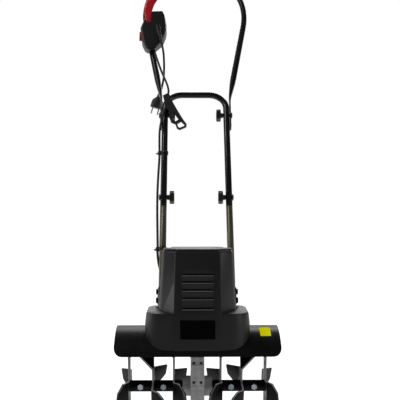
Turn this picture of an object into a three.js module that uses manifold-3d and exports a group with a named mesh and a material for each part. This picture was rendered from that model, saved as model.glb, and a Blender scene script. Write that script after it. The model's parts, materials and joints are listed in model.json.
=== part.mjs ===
// Electric tiller: six bolted tine stars on one shaft, driven through a worm gear by an upright motor, with a folding handle.
// Millimetres, +Z up. The front of the machine faces -Y and its handle leans back towards +Y.
import * as THREE from "three";
import { mergeVertices } from "three/addons/utils/BufferGeometryUtils.js";
import Module from "manifold-3d";

const wasm = await Module();
wasm.setup();

// Clearances and cutting
const seatGap = 0.3;
const runningGap = 0.5;
const cutOverrun = 6;
const meshTolerance = 0.01;
const rad = Math.PI / 180;

// Tine shaft, gearcase and worm drive
const axisHeight = 103;
const centreDepth = 247.5;
const shaftRadius = 10;
const shaftHalfLength = 158;
const wheelTeeth = 30;
const wormPitchRadius = 7.5;
const gearModule = 1.8;
const wheelFace = 14;
const wormHalfLength = 15;
const flankPlay = 0.4;
const caseHalfWidth = 16.7;
const caseWall = 6.5;
const caseTop = 173;
const neckHalfDepth = 17.5;
const wormTubeRadius = 8.5;
const bossRadius = 25;
const bossReach = 36;
const bearingWidth = 12;
const bearingRadius = 21;
const sealWidth = 6;
const wormBearingRadius = 13;
const wormBearingWidth = 8;
const wormBearingRise = 24;
const ribDepth = 3;
const ribWidth = 3.4;

// Motor
const motorRadius = 41;
const motorCanWall = 1.6;
const motorHeight = 132;
const flangeThickness = 8;
const flangeRadius = 46;
const statorHeight = 62;
const statorBore = 25;
const armatureRadius = 24;
const armatureSlots = 12;
const armatureSlotWidth = 3;
const armatureSlotDepth = 5;
const commutatorRadius = 15;
const commutatorHeight = 18;
const rotorShaftRadius = 5;
const fanRadius = 35;
const fanBlades = 9;
const fanHeight = 13;
const brushWidth = 8;

// Tines
const sleeveRadius = 14;
const sleeveJoint = 112.6;
const sleeveEnd = 174;
const starThickness = 4.5;
const innerStarPlace = 58;
const middleStarPlace = 109.6;
const outerStarPlace = 169;
const bladeRootWidth = 30;
const bladeWidth = 42;
const bladeBendNear = 86;
const bladeBendFar = 72;
const bladeLateBend = 6;
const bladeEarlyBend = 20;
const bladeReach = 111.2;
const bladeFoldAngle = 48;
const outerStarPhase = -7;
const middleStarPhase = -13;
const boltRadius = 4;
const hexAcrossFlats = 13;
const hexHeight = 5.5;
const innerBoltPlace = 84;
const outerBoltPlace = 141;

// Tine guard and base plate
const guardWidth = 400;
const guardRadius = 150;
const guardSheet = 2.2;
const guardFrontAngle = 38.6;
const guardRearAngle = 165;
const guardLip = 9;
const guardCorner = 20;
const plateThickness = 3;
const plateHalfWidth = 104;
const plateFront = -84;
const plateRear = 48;
const earRise = 20;
const earDepth = 44;
const plateHoleGap = 1;

// Handle tubes, in the sloping frame of the handle: X across, Z along the tubes from the lower bolts
const handleFootDepth = 27;
const handleFootHeight = 324;
const handleSlope = 57.8;
const tubeRadius = 9;
const tubeWall = 1.5;
const tubeHalfSpacing = 89;
const lowerTubeEnd = -36;
const seamPlace = 264.4;
const swageLength = 62;
const lowerBoltPlace = 295.5;
const foldBoltPlace = 576.8;
const crossbarPlace = 652.8;
const crossbarCorner = 50;
const hoopEnd = 531.5;
const hoopFlatTop = 606;
const hoopKink = 640.4;
const hoopHalfWidth = 155;
const hoopWidestPlace = 974;
const hoopSideRadius = 250;
const hoopCornerRadius = 85;
const hoopSplayAngle = 9.7;
const hoopTurnAngle = 16.8;
const flatThickness = 4.4;
const flatWidth = 25;
const clampLength = 44;
const clampSheet = 2;
const clampBoltSpacing = 24;
const clampHeadHeight = 3.4;
const knobRadius = 18;
const knobThickness = 13;
const knobHubRadius = 7;
const knobHubLength = 7;
const knobLobes = 6;
const knobLobeDepth = 1.6;
const boltHeadRadius = 9;
const boltHeadHeight = 3.6;

// Housing shells
const housingWall = 2.6;
const skirtHalfWidth = 127.5;
const skirtTopHalfWidth = 125;
const skirtFront = -106;
const skirtRear = 60;
const skirtTop = 298;
const skirtCorner = 52;
const skirtEdge = 7;
const towerTop = 449;
const capHeight = 6.5;
const capInset = 2.4;
const capEdge = 2.4;
const towerFootHalfWidth = 95;
const towerHeadHalfWidth = 86;
const panelProud = 1;
const towerHeadFront = -75;
const towerSideFront = -52;
const towerNarrowing = -7;
const towerNeckHalfWidth = 69;
const towerRear = 33;
const panelFootHalfWidth = 58;
const panelHeadHalfWidth = 54.5;
const panelStep = 5;
const panelRound = 2;
const towerSideRound = 7;
const towerRearRound = 9;
const splitDepth = -40;
const louvreHalfWidth = 38.6;
const louvreTop = 404;
const louvreLedges = [386, 368, 349.5, 330, 306.5];
const louvreDepth = 5.5;
const louvreSlit = 3;
const louvreLip = 3;
const cableHoleRadius = 5.6;
const badgeWidth = 83;
const badgeHeight = 45;
const badgeThickness = 1.5;
const badgePlace = 259;

// Switch box, lever and button, in the frame of the handle
const boxFrontDepth = 28;
const boxBackDepth = 22;
const boxEdge = 7;
const boxWall = 2.6;
const boxWidth = 80.5;
const boxHeight = 173;
const boxLow = 799;
const boxLegShare = 0.314;
const boxOutlineShares = [
  [0.453, 0.994],
  [0.839, 1],
  [0.919, 0.913],
  [1, 0.653],
  [0.969, 0.526],
  [0.863, 0.306],
  [0.627, 0.04],
  [0.553, 0],
  [0.342, 0],
  [0.23, 0.069],
  [0.081, 0.306],
  [0, 0.595],
  [0.056, 0.688],
  [0.13, 0.792],
];
const leverAside = 6.1;
const leverPivotPlace = 930;
const leverPivotDepth = 17;
const leverTilt = 9;
const leverWidth = 20;
const leverThickness = 10;
const leverPinRadius = 3.5;
const leverEarThickness = 2.5;
const leverSpan = 207;
const leverRise = 157;
const leverRouteShares = [
  [0, -0.038],
  [0, 0.14],
  [-0.007, 0.35],
  [0.005, 0.535],
  [0.063, 0.7],
  [0.179, 0.854],
  [0.343, 0.955],
  [0.556, 0.994],
  [0.797, 1],
  [1, 0.994],
];
const buttonPlace = 886;
const buttonStandoff = 3.5;
const buttonLength = 32;
const buttonWidth = 13;
const buttonCorner = 4;
const buttonTravel = 4;
const glandRootShares = [0.697, 0.474];
const glandRootDepth = 34.6;
const glandTipShares = [0.836, 0.159];
const glandTipDepth = 30;
const glandRootRadius = 6.2;
const glandTipRadius = 4.2;
const switchWidth = 17;
const switchDepth = 22;
const switchHeight = 34;

// Mains lead and plug. Route points, counted from the gland's tip: across, along the handle, to its front
const leadRadius = 3.2;
const leadRoute = [
  [0, 0, 0],
  [2, -9.7, -0.8],
  [3.8, -19.5, -4.8],
  [5.4, -29.5, -11.6],
  [6.4, -41.5, -20.2],
  [6.8, -54.5, -29],
  [6.8, -68.5, -38.3],
  [6, -84.5, -48.4],
  [3.8, -98.5, -57.2],
  [0.4, -112, -65.7],
  [-3.8, -124.5, -73.6],
];
const plugRadius = 18;
const plugBodyLength = 32;
const plugBootLength = 20;
const plugBootRadius = 6.5;
const plugPinRadius = 2.4;
const plugPinLength = 19;
const plugPinSpacing = 19;

// Motor cable. Route points: across, along the handle, in front of the handle's plane
const cableRadius = 3.2;
const cableRoute = [
  [-122, 806, 15],
  [-118, 790, 15],
  [-111, 765, 14],
  [-102, 735, 13.6],
  [-92, 706, 13.8],
  [-84, 682, 14.4],
  [-79.5, 660, 14.6],
  [-80.4, 640, 15.6],
  [-83, 620, 16],
  [-87, 598, 16.2],
  [-92, 575, 16.4],
  [-97, 552, 16.4],
  [-101, 527, 16.8],
  [-103, 508, 12],
  [-103.4, 486, 4],
  [-103, 462, 0.5],
  [-102.4, 443, 0],
  [-103, 415, 0],
  [-104.6, 370, 0],
  [-105.8, 320, 0],
  [-105.6, 262, 0],
  [-104.2, 205, 0],
  [-102.8, 160, 0],
  [-102.4, 146, 0],
  [-102.4, 135, 0],
  [-102.3, 124, -0.6],
  [-101, 109, -4],
  [-98, 92, -9.5],
  [-92, 74, -13],
  [-84, 60, -12.6],
  [-73, 47, -7],
  [-62, 35.6, -1.2],
  [-55.5, 27.4, 3.4],
  [-51, 19.2, 10.9],
];
const clipPlaces = [443, 135];
const clipWidth = 8;
const clipSheet = 2;

// Cable hook, in the plane of the handle
const hookThickness = 5;
const hookDepth = 20;
const hookCollarPlace = 591;
const hookCollarHeight = 11;
const hookWidth = 69;
const hookHeight = 132;
const hookDrop = 83;
const hookOutlineShares = [
  [0, 0.939],
  [0.188, 1],
  [0.348, 0.909],
  [0.391, 0.78],
  [0.609, 0.53],
  [0.841, 0.28],
  [1, 0.144],
  [0.986, 0.076],
  [0.71, 0],
  [0.594, 0.038],
  [0.536, 0.152],
  [0.362, 0.197],
  [0.29, 0.318],
  [0.275, 0.5],
  [0.101, 0.667],
];
const hookSlotShares = [
  [0.449, 0.477],
  [0.672, 0.273],
  [0.536, 0.22],
  [0.42, 0.265],
];
const hookLoopShares = [
  [0.603, 0.159],
  [0.768, 0.22],
  [0.913, 0.129],
  [0.899, 0.098],
  [0.71, 0.045],
  [0.652, 0.068],
];

// Drag stake behind the guard
const stakeWidth = 25;
const stakeThickness = 6;
const stakeLength = 236;
const stakeBracketWidth = 34;
const stakeBracketDepth = 19;
const stakeBracketBottom = 146;
const stakeBracketTop = 208;
const stakeHolePitch = 22;
const stakeHoleRadius = 4.2;

// Radius of a many-sided hole that clears a round piece of the given radius
function clearing(radius, sides = 18) {
  return (radius + seatGap) / Math.cos(Math.PI / sides);
}

// Worked out sizes
const boltHole = clearing(boltRadius, 8);
const wheelPitchRadius = (wheelTeeth * gearModule) / 2;
const wormPitch = Math.PI * gearModule;
const motorDepth = -(wheelPitchRadius + wormPitchRadius);
const wheelTipRadius = wheelPitchRadius + 0.9 * gearModule;
const swageRadius = tubeRadius - tubeWall - 2 * seatGap;
const chamberRadius = wheelTipRadius + 2 * runningGap;
const caseRadius = chamberRadius + caseWall;
const guardTop = axisHeight + guardRadius;
const plateLevel = guardTop + seatGap;
const plateTop = plateLevel + plateThickness;
const flangeBottom = plateTop + seatGap;
const motorBottom = flangeBottom + flangeThickness;
const motorTop = motorBottom + motorHeight;
const hoopLegPlace = tubeHalfSpacing + tubeRadius + seatGap + flatThickness / 2;
const towerFoot = skirtTop - skirtEdge;
const towerFootFront = skirtFront - panelProud;

// Finishes
const finishes = {
  paint: { color: 0x111214, roughness: 0.35, metalness: 0.2 },
  tinePaint: { color: 0x0c0c0e, roughness: 0.45, metalness: 0.2 },
  plastic: { color: 0x222224, roughness: 0.6, metalness: 0 },
  gloss: { color: 0x050506, roughness: 0.15, metalness: 0 },
  red: { color: 0xb0121c, roughness: 0.2, metalness: 0 },
  casting: { color: 0x6f7073, roughness: 0.5, metalness: 0.8 },
  steel: { color: 0x9a9ca0, roughness: 0.3, metalness: 1 },
  zinc: { color: 0xc9d0d4, roughness: 0.3, metalness: 1 },
  bronze: { color: 0xa8793a, roughness: 0.4, metalness: 1 },
  copper: { color: 0x9c5a34, roughness: 0.5, metalness: 0.8 },
  rubber: { color: 0x18181a, roughness: 0.8, metalness: 0 },
};

const tiller = new THREE.Group();
tiller.position.set(0, -centreDepth, 0);
const handle = new THREE.Group();
handle.position.set(0, handleFootDepth, handleFootHeight);
handle.rotation.x = handleSlope * rad - Math.PI / 2;
tiller.add(handle);

function piece(name, geometry, finish, parent = tiller) {
  const mesh = new THREE.Mesh(geometry, new THREE.MeshStandardMaterial(finishes[finish]));
  mesh.name = name;
  parent.add(mesh);
  return mesh;
}

// Solids and geometries
function solidOf(geometry) {
  const bare = geometry.index ? geometry.toNonIndexed() : geometry.clone();
  bare.deleteAttribute("normal");
  bare.deleteAttribute("uv");
  const merged = mergeVertices(bare, 1e-4);
  const made = new wasm.Manifold(
    new wasm.Mesh({
      numProp: 3,
      vertProperties: merged.attributes.position.array,
      triVerts: new Uint32Array(merged.index.array),
    }),
  );
  return made;
}

function geometryOf(solid) {
  const mesh = solid.asOriginal().simplify(meshTolerance).getMesh();
  const geometry = new THREE.BufferGeometry();
  geometry.setAttribute("position", new THREE.BufferAttribute(new Float32Array(mesh.vertProperties), 3));
  geometry.setIndex(new THREE.BufferAttribute(new Uint32Array(mesh.triVerts), 1));
  return geometry;
}

function joined(...parts) {
  return parts.map((part) => (part.isBufferGeometry ? solidOf(part) : part)).reduce((sum, part) => sum.add(part));
}

function cut(body, ...tools) {
  return tools.reduce((rest, tool) => rest.subtract(tool.isBufferGeometry ? solidOf(tool) : tool), joined(body));
}

// Basic forms, placed
function block(x0, x1, y0, y1, z0, z1) {
  const geometry = new THREE.BoxGeometry(x1 - x0, y1 - y0, z1 - z0);
  return geometry.translate((x0 + x1) / 2, (y0 + y1) / 2, (z0 + z1) / 2);
}

function rodX(radius, x0, x1, y, z, sides = 18) {
  const geometry = new THREE.CylinderGeometry(radius, radius, x1 - x0, sides);
  return geometry.rotateZ(90 * rad).translate((x0 + x1) / 2, y, z);
}

function rodY(radius, y0, y1, x, z, sides = 16) {
  return new THREE.CylinderGeometry(radius, radius, y1 - y0, sides).translate(x, (y0 + y1) / 2, z);
}

function rodZ(radius, z0, z1, x, y, sides = 20) {
  const geometry = new THREE.CylinderGeometry(radius, radius, z1 - z0, sides);
  return geometry.rotateX(90 * rad).translate(x, y, (z0 + z1) / 2);
}

function shapeOf(points) {
  return new THREE.Shape(points.map(([a, b]) => new THREE.Vector2(a, b)));
}

function ringZ(innerRadius, outerRadius, z0, z1, x, y, sides = 20) {
  const profile = [
    [innerRadius, z0],
    [outerRadius, z0],
    [outerRadius, z1],
    [innerRadius, z1],
    [innerRadius, z0],
  ];
  return turnedZ(profile, sides).translate(x, y, 0);
}

// A revolve about Z of points (radius, height)
function turnedZ(profile, sides = 24) {
  const points = profile.map(([r, z]) => new THREE.Vector2(r, z));
  return new THREE.LatheGeometry(points, sides).rotateX(90 * rad);
}

// A revolve about X of points (radius, place along X)
function turnedX(profile, sides = 24) {
  const points = profile.map(([r, x]) => new THREE.Vector2(r, x));
  return new THREE.LatheGeometry(points, sides).rotateZ(-90 * rad);
}

function ringX(innerRadius, outerRadius, x0, x1, y, z, sides = 20) {
  const profile = [
    [innerRadius, x0],
    [outerRadius, x0],
    [outerRadius, x1],
    [innerRadius, x1],
    [innerRadius, x0],
  ];
  return turnedX(profile, sides).translate(0, y, z);
}

// An outline of (y, z) points pulled from x0 to x1
function pulledX(points, x0, x1) {
  const geometry = new THREE.ExtrudeGeometry(shapeOf(points), { depth: x1 - x0, bevelEnabled: false });
  geometry.rotateX(90 * rad).rotateZ(90 * rad);
  return geometry.translate(x0, 0, 0);
}

// An outline of (x, z) points pulled from y0 to y1
function pulledY(points, y0, y1) {
  const geometry = new THREE.ExtrudeGeometry(shapeOf(points), { depth: y1 - y0, bevelEnabled: false });
  return geometry.rotateX(90 * rad).translate(0, y1, 0);
}

// An outline of (x, y) points pulled from z0 to z1
function pulledZ(points, z0, z1) {
  const geometry = new THREE.ExtrudeGeometry(shapeOf(points), { depth: z1 - z0, bevelEnabled: false });
  return geometry.translate(0, 0, z0);
}

function mirroredX(geometry) {
  const solid = geometry.isBufferGeometry ? solidOf(geometry) : geometry;
  return geometryOf(solid.mirror([1, 0, 0]));
}

function arcPoints(radius, startAngle, endAngle, steps, centre = [0, 0]) {
  return Array.from({ length: steps + 1 }, (_, i) => {
    const angle = (startAngle + ((endAngle - startAngle) * i) / steps) * rad;
    return [centre[0] + radius * Math.cos(angle), centre[1] + radius * Math.sin(angle)];
  });
}

// A closed skin through rings of points that all have the same count
function lofted(rings) {
  const count = rings[0].length;
  const positions = rings.flat().flatMap((p) => [p.x, p.y, p.z]);
  const faces = [];
  for (let r = 0; r < rings.length - 1; r++) {
    for (let i = 0; i < count; i++) {
      const a = r * count + i;
      const b = r * count + ((i + 1) % count);
      faces.push(a, b, b + count, a, b + count, a + count);
    }
  }
  const flatRing = (ring, offset, flip) => {
    const normal = ringNormal(ring);
    const side = new THREE.Vector3().subVectors(ring[1], ring[0]).normalize();
    const up = new THREE.Vector3().crossVectors(normal, side);
    const flat = ring.map((p) => new THREE.Vector2(p.dot(side), p.dot(up)));
    for (const [a, b, c] of THREE.ShapeUtils.triangulateShape(flat, [])) {
      faces.push(...(flip ? [offset + a, offset + c, offset + b] : [offset + a, offset + b, offset + c]));
    }
  };
  flatRing(rings[0], 0, true);
  flatRing(rings.at(-1), (rings.length - 1) * count, false);
  const geometry = new THREE.BufferGeometry();
  geometry.setAttribute("position", new THREE.Float32BufferAttribute(positions, 3));
  geometry.setIndex(faces);
  return geometry;
}

function ringNormal(ring) {
  const normal = new THREE.Vector3();
  ring.forEach((p, i) => normal.add(new THREE.Vector3().crossVectors(p, ring[(i + 1) % ring.length])));
  return normal.normalize();
}

function smoothTube(route, radius, steps, sides = 8) {
  const curve = new THREE.CatmullRomCurve3(route, false, "centripetal");
  const section = new THREE.Shape(
    Array.from({ length: sides }, (_, i) => {
      const angle = (2 * Math.PI * i) / sides;
      return new THREE.Vector2(radius * Math.cos(angle), radius * Math.sin(angle));
    }),
  );
  return new THREE.ExtrudeGeometry(section, { steps, extrudePath: curve, bevelEnabled: false });
}

// Gearcase
function gearcaseOutline() {
  const front = motorDepth - neckHalfDepth;
  const back = motorDepth + neckHalfDepth;
  const meeting = Math.acos(back / caseRadius) / rad;
  const floor = Math.asin(-front / caseRadius > 1 ? -1 : front / caseRadius) / rad;
  const round = arcPoints(caseRadius, meeting, -90 + floor / 3, 16, [0, axisHeight]);
  return [...round, [front, round.at(-1)[1]], [front, caseTop], [back, caseTop]];
}

function gearcaseSolid() {
  const outline = gearcaseOutline();
  const front = motorDepth - neckHalfDepth;
  const lowest = outline.at(-3)[1];
  const body = pulledX(outline, seatGap / 2, caseHalfWidth);
  const boss = rodX(bossRadius, 0, bossReach, 0, axisHeight, 24).translate(caseHalfWidth - cutOverrun / 2, 0, 0);
  const bossTrimmed = cut(boss, block(bossReach, 2 * bossReach, -bossReach, bossReach, 0, caseTop));
  const centreRib = block(seatGap / 2, ribWidth, front - ribDepth, front + ribDepth, lowest, caseTop);
  const sideRib = block(caseHalfWidth - ribWidth, caseHalfWidth, front - ribDepth, front + ribDepth, lowest, caseTop);
  const screwBoss = rodX(ribWidth * 1.5, seatGap / 2, caseHalfWidth, front, caseTop - 3 * ribWidth, 10);
  const lowBoss = rodX(ribWidth * 1.5, seatGap / 2, caseHalfWidth, front, axisHeight + 2 * ribWidth, 10);
  const whole = joined(body, bossTrimmed, centreRib, sideRib, screwBoss, lowBoss);
  const chamber = rodX(chamberRadius, -cutOverrun, wheelFace / 2 + 2 * runningGap, 0, axisHeight, 20);
  const seatStart = caseHalfWidth - cutOverrun;
  const seatEnd = bossReach + cutOverrun;
  const bearingSeat = rodX(clearing(bearingRadius, 18), seatStart, seatEnd, 0, axisHeight, 18);
  const shaftBore = rodX(shaftRadius + 2 * runningGap, -cutOverrun, bossReach, 0, axisHeight, 14);
  const wormBore = rodZ(
    wormPitchRadius + gearModule + 2 * runningGap,
    wormLow(),
    axisHeight + wormBearingRise + wormBearingWidth,
    0,
    motorDepth,
    14,
  );
  const lowSeat = rodZ(
    clearing(wormBearingRadius, 16),
    axisHeight - wormBearingRise - wormBearingWidth - seatGap,
    axisHeight - wormBearingRise + seatGap,
    0,
    motorDepth,
    16,
  );
  const highSeat = rodZ(
    clearing(wormBearingRadius, 16),
    axisHeight + wormBearingRise - seatGap,
    axisHeight + wormBearingRise + wormBearingWidth + seatGap,
    0,
    motorDepth,
    16,
  );
  const shaftWay = rodZ(wormTubeRadius, axisHeight, caseTop + cutOverrun, 0, motorDepth, 14);
  return cut(whole, chamber, bearingSeat, shaftBore, wormBore, lowSeat, highSeat, shaftWay);
}

function wormLow() {
  return axisHeight - wormBearingRise - wormBearingWidth;
}

function makeGearcase() {
  const half = gearcaseSolid();
  piece("gearcase_right", geometryOf(half), "casting");
  piece("gearcase_left", mirroredX(half), "casting");
}

function makeNeck() {
  const front = motorDepth - neckHalfDepth;
  const back = motorDepth + neckHalfDepth;
  const low = caseTop + seatGap;
  const column = block(-caseHalfWidth, caseHalfWidth, front, back, low, motorBottom - flangeThickness / 2);
  const foot = block(-caseHalfWidth, caseHalfWidth, front - ribDepth, back, low, low + 3 * ribWidth);
  const ribs = [-caseHalfWidth, -ribWidth / 2, caseHalfWidth - ribWidth].map((x) =>
    block(x, x + ribWidth, front - ribDepth, front + ribDepth, low, motorBottom - flangeThickness / 2),
  );
  const flange = rodZ(flangeRadius, flangeBottom, motorBottom, 0, motorDepth, 32);
  const way = rodZ(wormTubeRadius, low - cutOverrun, motorBottom + cutOverrun, 0, motorDepth, 14);
  const screwHoles = [-1, 1].map((side) =>
    rodY(ribWidth / 2, front - 2 * ribDepth, front + ribDepth, side * ribWidth * 2.6, low + 1.5 * ribWidth, 10),
  );
  piece("gear_neck", geometryOf(cut(joined(column, foot, flange, ...ribs), way, ...screwHoles)), "casting");
}

function makeShaftBearings() {
  const sides = { right: 1, left: -1 };
  for (const [name, side] of Object.entries(sides)) {
    const start = caseHalfWidth - cutOverrun + seatGap;
    const bearing = ringX(clearing(shaftRadius), bearingRadius, start, start + bearingWidth, 0, axisHeight, 18);
    const sealStart = start + bearingWidth + seatGap;
    const seal = ringX(clearing(shaftRadius), bearingRadius, sealStart, sealStart + sealWidth, 0, axisHeight, 18);
    piece("shaft_bearing_" + name, side > 0 ? bearing : mirroredX(bearing), "steel");
    piece("shaft_seal_" + name, side > 0 ? seal : mirroredX(seal), "rubber");
  }
}

function makeWormBearings() {
  const low = axisHeight - wormBearingRise - wormBearingWidth;
  const high = axisHeight + wormBearingRise;
  const bore = clearing(rotorShaftRadius, 16);
  const race = (z) => ringZ(bore, wormBearingRadius, z, z + wormBearingWidth, 0, motorDepth, 16);
  piece("worm_bearing_lower", race(low), "steel");
  piece("worm_bearing_upper", race(high), "steel");
}

// Tine shaft with the cross holes for the tine bolts
function makeTineShaft() {
  const shaft = rodX(shaftRadius, -shaftHalfLength, shaftHalfLength, 0, axisHeight, 16);
  const holes = [innerBoltPlace, outerBoltPlace].flatMap((x) =>
    [-x, x].map((place) => rodY(boltHole, -2 * shaftRadius, 2 * shaftRadius, place, axisHeight, 10)),
  );
  piece("tine_shaft", geometryOf(cut(shaft, ...holes)), "steel");
}

// Worm wheel: gear outline twisted over its face by the worm's lead angle
function makeWormWheel() {
  const root = wheelPitchRadius - 1.15 * gearModule;
  const halfTooth = (wormPitch / 4 - flankPlay / 2) / wheelPitchRadius;
  const slope = Math.tan(20 * rad);
  const tipHalf = halfTooth - (0.9 * gearModule * slope) / wheelPitchRadius;
  const rootHalf = halfTooth + (1.15 * gearModule * slope) / wheelPitchRadius;
  const outline = [];
  for (let tooth = 0; tooth < wheelTeeth; tooth++) {
    const middle = Math.PI + (2 * Math.PI * (tooth + 0.5)) / wheelTeeth;
    outline.push([root * Math.cos(middle - rootHalf), root * Math.sin(middle - rootHalf)]);
    outline.push([wheelTipRadius * Math.cos(middle - tipHalf), wheelTipRadius * Math.sin(middle - tipHalf)]);
    outline.push([wheelTipRadius * Math.cos(middle + tipHalf), wheelTipRadius * Math.sin(middle + tipHalf)]);
    outline.push([root * Math.cos(middle + rootHalf), root * Math.sin(middle + rootHalf)]);
  }
  const lead = wormPitch / (2 * Math.PI * wormPitchRadius);
  const gear = pulledX(outline, -wheelFace / 2, wheelFace / 2);
  const places = gear.attributes.position;
  for (let i = 0; i < places.count; i++) {
    const turn = (places.getX(i) * lead) / wheelPitchRadius;
    const y = places.getY(i);
    const z = places.getZ(i);
    places.setY(i, y * Math.cos(turn) - z * Math.sin(turn));
    places.setZ(i, y * Math.sin(turn) + z * Math.cos(turn));
  }
  const recess = wheelPitchRadius * 0.78;
  const dish = (x0, x1) => ringX(shaftRadius * 1.5, recess, x0, x1, 0, 0, 16);
  const bore = rodX(clearing(shaftRadius), -wheelFace, wheelFace, 0, 0);
  const wheel = cut(gear, bore, dish(-wheelFace, -wheelFace / 4), dish(wheelFace / 4, wheelFace));
  piece("worm_wheel", geometryOf(wheel).translate(0, 0, axisHeight), "bronze");
}

// Worm: one right-handed thread wound round the shaft, with flat ends run out into the core
function wormThread() {
  const stepsPerTurn = 12;
  const turns = (2 * wormHalfLength) / wormPitch;
  const steps = Math.round(turns * stepsPerTurn);
  const slope = Math.tan(20 * rad);
  const halfThread = wormPitch / 4 - flankPlay / 2;
  const tip = wormPitchRadius + 0.9 * gearModule;
  const root = wormPitchRadius - 1.15 * gearModule;
  const rings = [];
  for (let i = 0; i <= steps; i++) {
    const share = i / steps;
    const height = (share - 0.5) * 2 * wormHalfLength;
    const angle = (2 * Math.PI * height) / wormPitch + Math.PI / 2;
    const runOut = Math.min(1, 4 * Math.min(share, 1 - share) + 0.12);
    const high = root + (tip - root) * runOut;
    const ring = [
      [root - gearModule / 2, halfThread + 1.15 * gearModule * slope],
      [high, halfThread - 0.9 * gearModule * slope * runOut],
      [high, -halfThread + 0.9 * gearModule * slope * runOut],
      [root - gearModule / 2, -halfThread - 1.15 * gearModule * slope],
    ].map(([r, z]) => new THREE.Vector3(r * Math.cos(angle), r * Math.sin(angle), height + z));
    rings.push(ring);
  }
  return lofted(rings);
}

function makeWormShaft() {
  const root = wormPitchRadius - 1.15 * gearModule;
  const top = motorTop + 8;
  const low = wormLow() + seatGap;
  const profile = [
    [0, low],
    [rotorShaftRadius, low],
    [rotorShaftRadius, axisHeight - wormHalfLength - 2 * gearModule],
    [root, axisHeight - wormHalfLength - 2 * gearModule + 1],
    [root, axisHeight + wormHalfLength + 2 * gearModule - 1],
    [rotorShaftRadius, axisHeight + wormHalfLength + 2 * gearModule],
    [rotorShaftRadius, top],
    [0, top],
  ];
  const shaft = joined(turnedZ(profile, 16), wormThread().translate(0, 0, axisHeight));
  piece("worm_shaft", geometryOf(shaft).translate(0, motorDepth, 0), "steel");
}

// Motor
function makeMotor() {
  const canLow = motorBottom + seatGap;
  const can = ringZ(motorRadius - motorCanWall, motorRadius, canLow, motorTop, 0, motorDepth, 32);
  const windows = [45, 135, 225, 315].map((angle) =>
    block(motorRadius / 2, 2 * motorRadius, -fanHeight / 2, fanHeight / 2, canLow + fanHeight / 3, canLow + fanHeight)
      .rotateZ(angle * rad)
      .translate(0, motorDepth, 0),
  );
  piece("motor_can", geometryOf(cut(can, ...windows)), "steel");

  const statorLow = motorBottom + fanHeight + 14;
  const statorOuter = motorRadius - motorCanWall - seatGap;
  const stator = ringZ(statorBore, statorOuter, statorLow, statorLow + statorHeight, 0, motorDepth, 32);
  const coilSpace = [0, 180].map((angle) =>
    block(statorBore * 0.7, statorOuter * 0.86, -statorBore / 2, statorBore / 2, statorLow - 1, statorLow + statorHeight + 1)
      .rotateZ(angle * rad)
      .translate(0, motorDepth, 0),
  );
  const coils = [0, 180].map((angle) =>
    block(statorBore + runningGap, statorOuter * 0.84, -statorBore * 0.46, statorBore * 0.46, statorLow - 6, statorLow + statorHeight + 6)
      .rotateZ(angle * rad)
      .translate(0, motorDepth, 0),
  );
  const webs = block(-statorOuter * 0.9, statorOuter * 0.9, -2, 2, statorLow + 4, statorLow + statorHeight - 4);
  const spokes = cut(webs, rodZ(statorBore + runningGap, 0, 2 * motorTop, 0, 0, 24)).translate([0, motorDepth, 0]);
  piece("stator", geometryOf(joined(cut(stator, ...coilSpace), ...coils, spokes)), "copper");

  const stackProfile = [
    [clearing(rotorShaftRadius), statorLow],
    [armatureRadius, statorLow],
    [armatureRadius, statorLow + statorHeight],
    [commutatorRadius, statorLow + statorHeight + 4],
    [commutatorRadius, statorLow + statorHeight + 4 + commutatorHeight],
    [clearing(rotorShaftRadius), statorLow + statorHeight + 4 + commutatorHeight],
    [clearing(rotorShaftRadius), statorLow],
  ];
  const slots = Array.from({ length: armatureSlots }, (_, i) =>
    block(
      armatureRadius - armatureSlotDepth,
      armatureRadius + cutOverrun,
      -armatureSlotWidth / 2,
      armatureSlotWidth / 2,
      statorLow - cutOverrun,
      statorLow + statorHeight - 2,
    ).rotateZ((i * 360 * rad) / armatureSlots),
  );
  const stack = cut(turnedZ(stackProfile, 24), ...slots);
  piece("armature", geometryOf(stack).translate(0, motorDepth, 0), "copper");

  const fanLow = motorBottom + 3;
  const hub = ringZ(clearing(rotorShaftRadius), 12, fanLow, fanLow + fanHeight, 0, 0, 20);
  const disc = ringZ(11, fanRadius, fanLow, fanLow + 2, 0, 0, 24);
  const blades = Array.from({ length: fanBlades }, (_, i) =>
    block(11, fanRadius, -0.9, 0.9, fanLow + 1, fanLow + fanHeight).rotateZ((i * 360 * rad) / fanBlades),
  );
  piece("cooling_fan", geometryOf(joined(hub, disc, ...blades)).translate(0, motorDepth, 0), "plastic");

  const bracketLow = motorTop + seatGap;
  const cap = rodZ(motorRadius, bracketLow, bracketLow + 5, 0, motorDepth, 32);
  const seatRing = ringZ(clearing(wormBearingRadius), wormBearingRadius + 3, bracketLow + 4, bracketLow + 5 + wormBearingWidth, 0, motorDepth);
  const brushHeight = statorLow + statorHeight + 4 + commutatorHeight / 2;
  const arms = [-1, 1].map((side) => {
    const near = side * (commutatorRadius + runningGap);
    const far = side * (motorRadius - motorCanWall - 2);
    const brush = block(Math.min(near, far), Math.max(near, far), -brushWidth / 2, brushWidth / 2, brushHeight - 4, brushHeight + 4);
    const post = block(
      Math.min(far, far - side * 8),
      Math.max(far, far - side * 8),
      -brushWidth / 2,
      brushWidth / 2,
      brushHeight - 4,
      bracketLow + 1,
    );
    return joined(brush, post).translate([0, motorDepth, 0]);
  });
  const bore = rodZ(rotorShaftRadius + 2 * runningGap, bracketLow - cutOverrun, bracketLow + 40, 0, motorDepth, 16);
  const bracket = cut(joined(cap, seatRing, ...arms), bore);
  piece("end_bracket", geometryOf(bracket), "plastic");
  const bearingLow = bracketLow + 5 + seatGap;
  piece(
    "top_bearing",
    ringZ(clearing(rotorShaftRadius, 16), wormBearingRadius, bearingLow, bearingLow + wormBearingWidth, 0, motorDepth, 16),
    "steel",
  );
}

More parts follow.
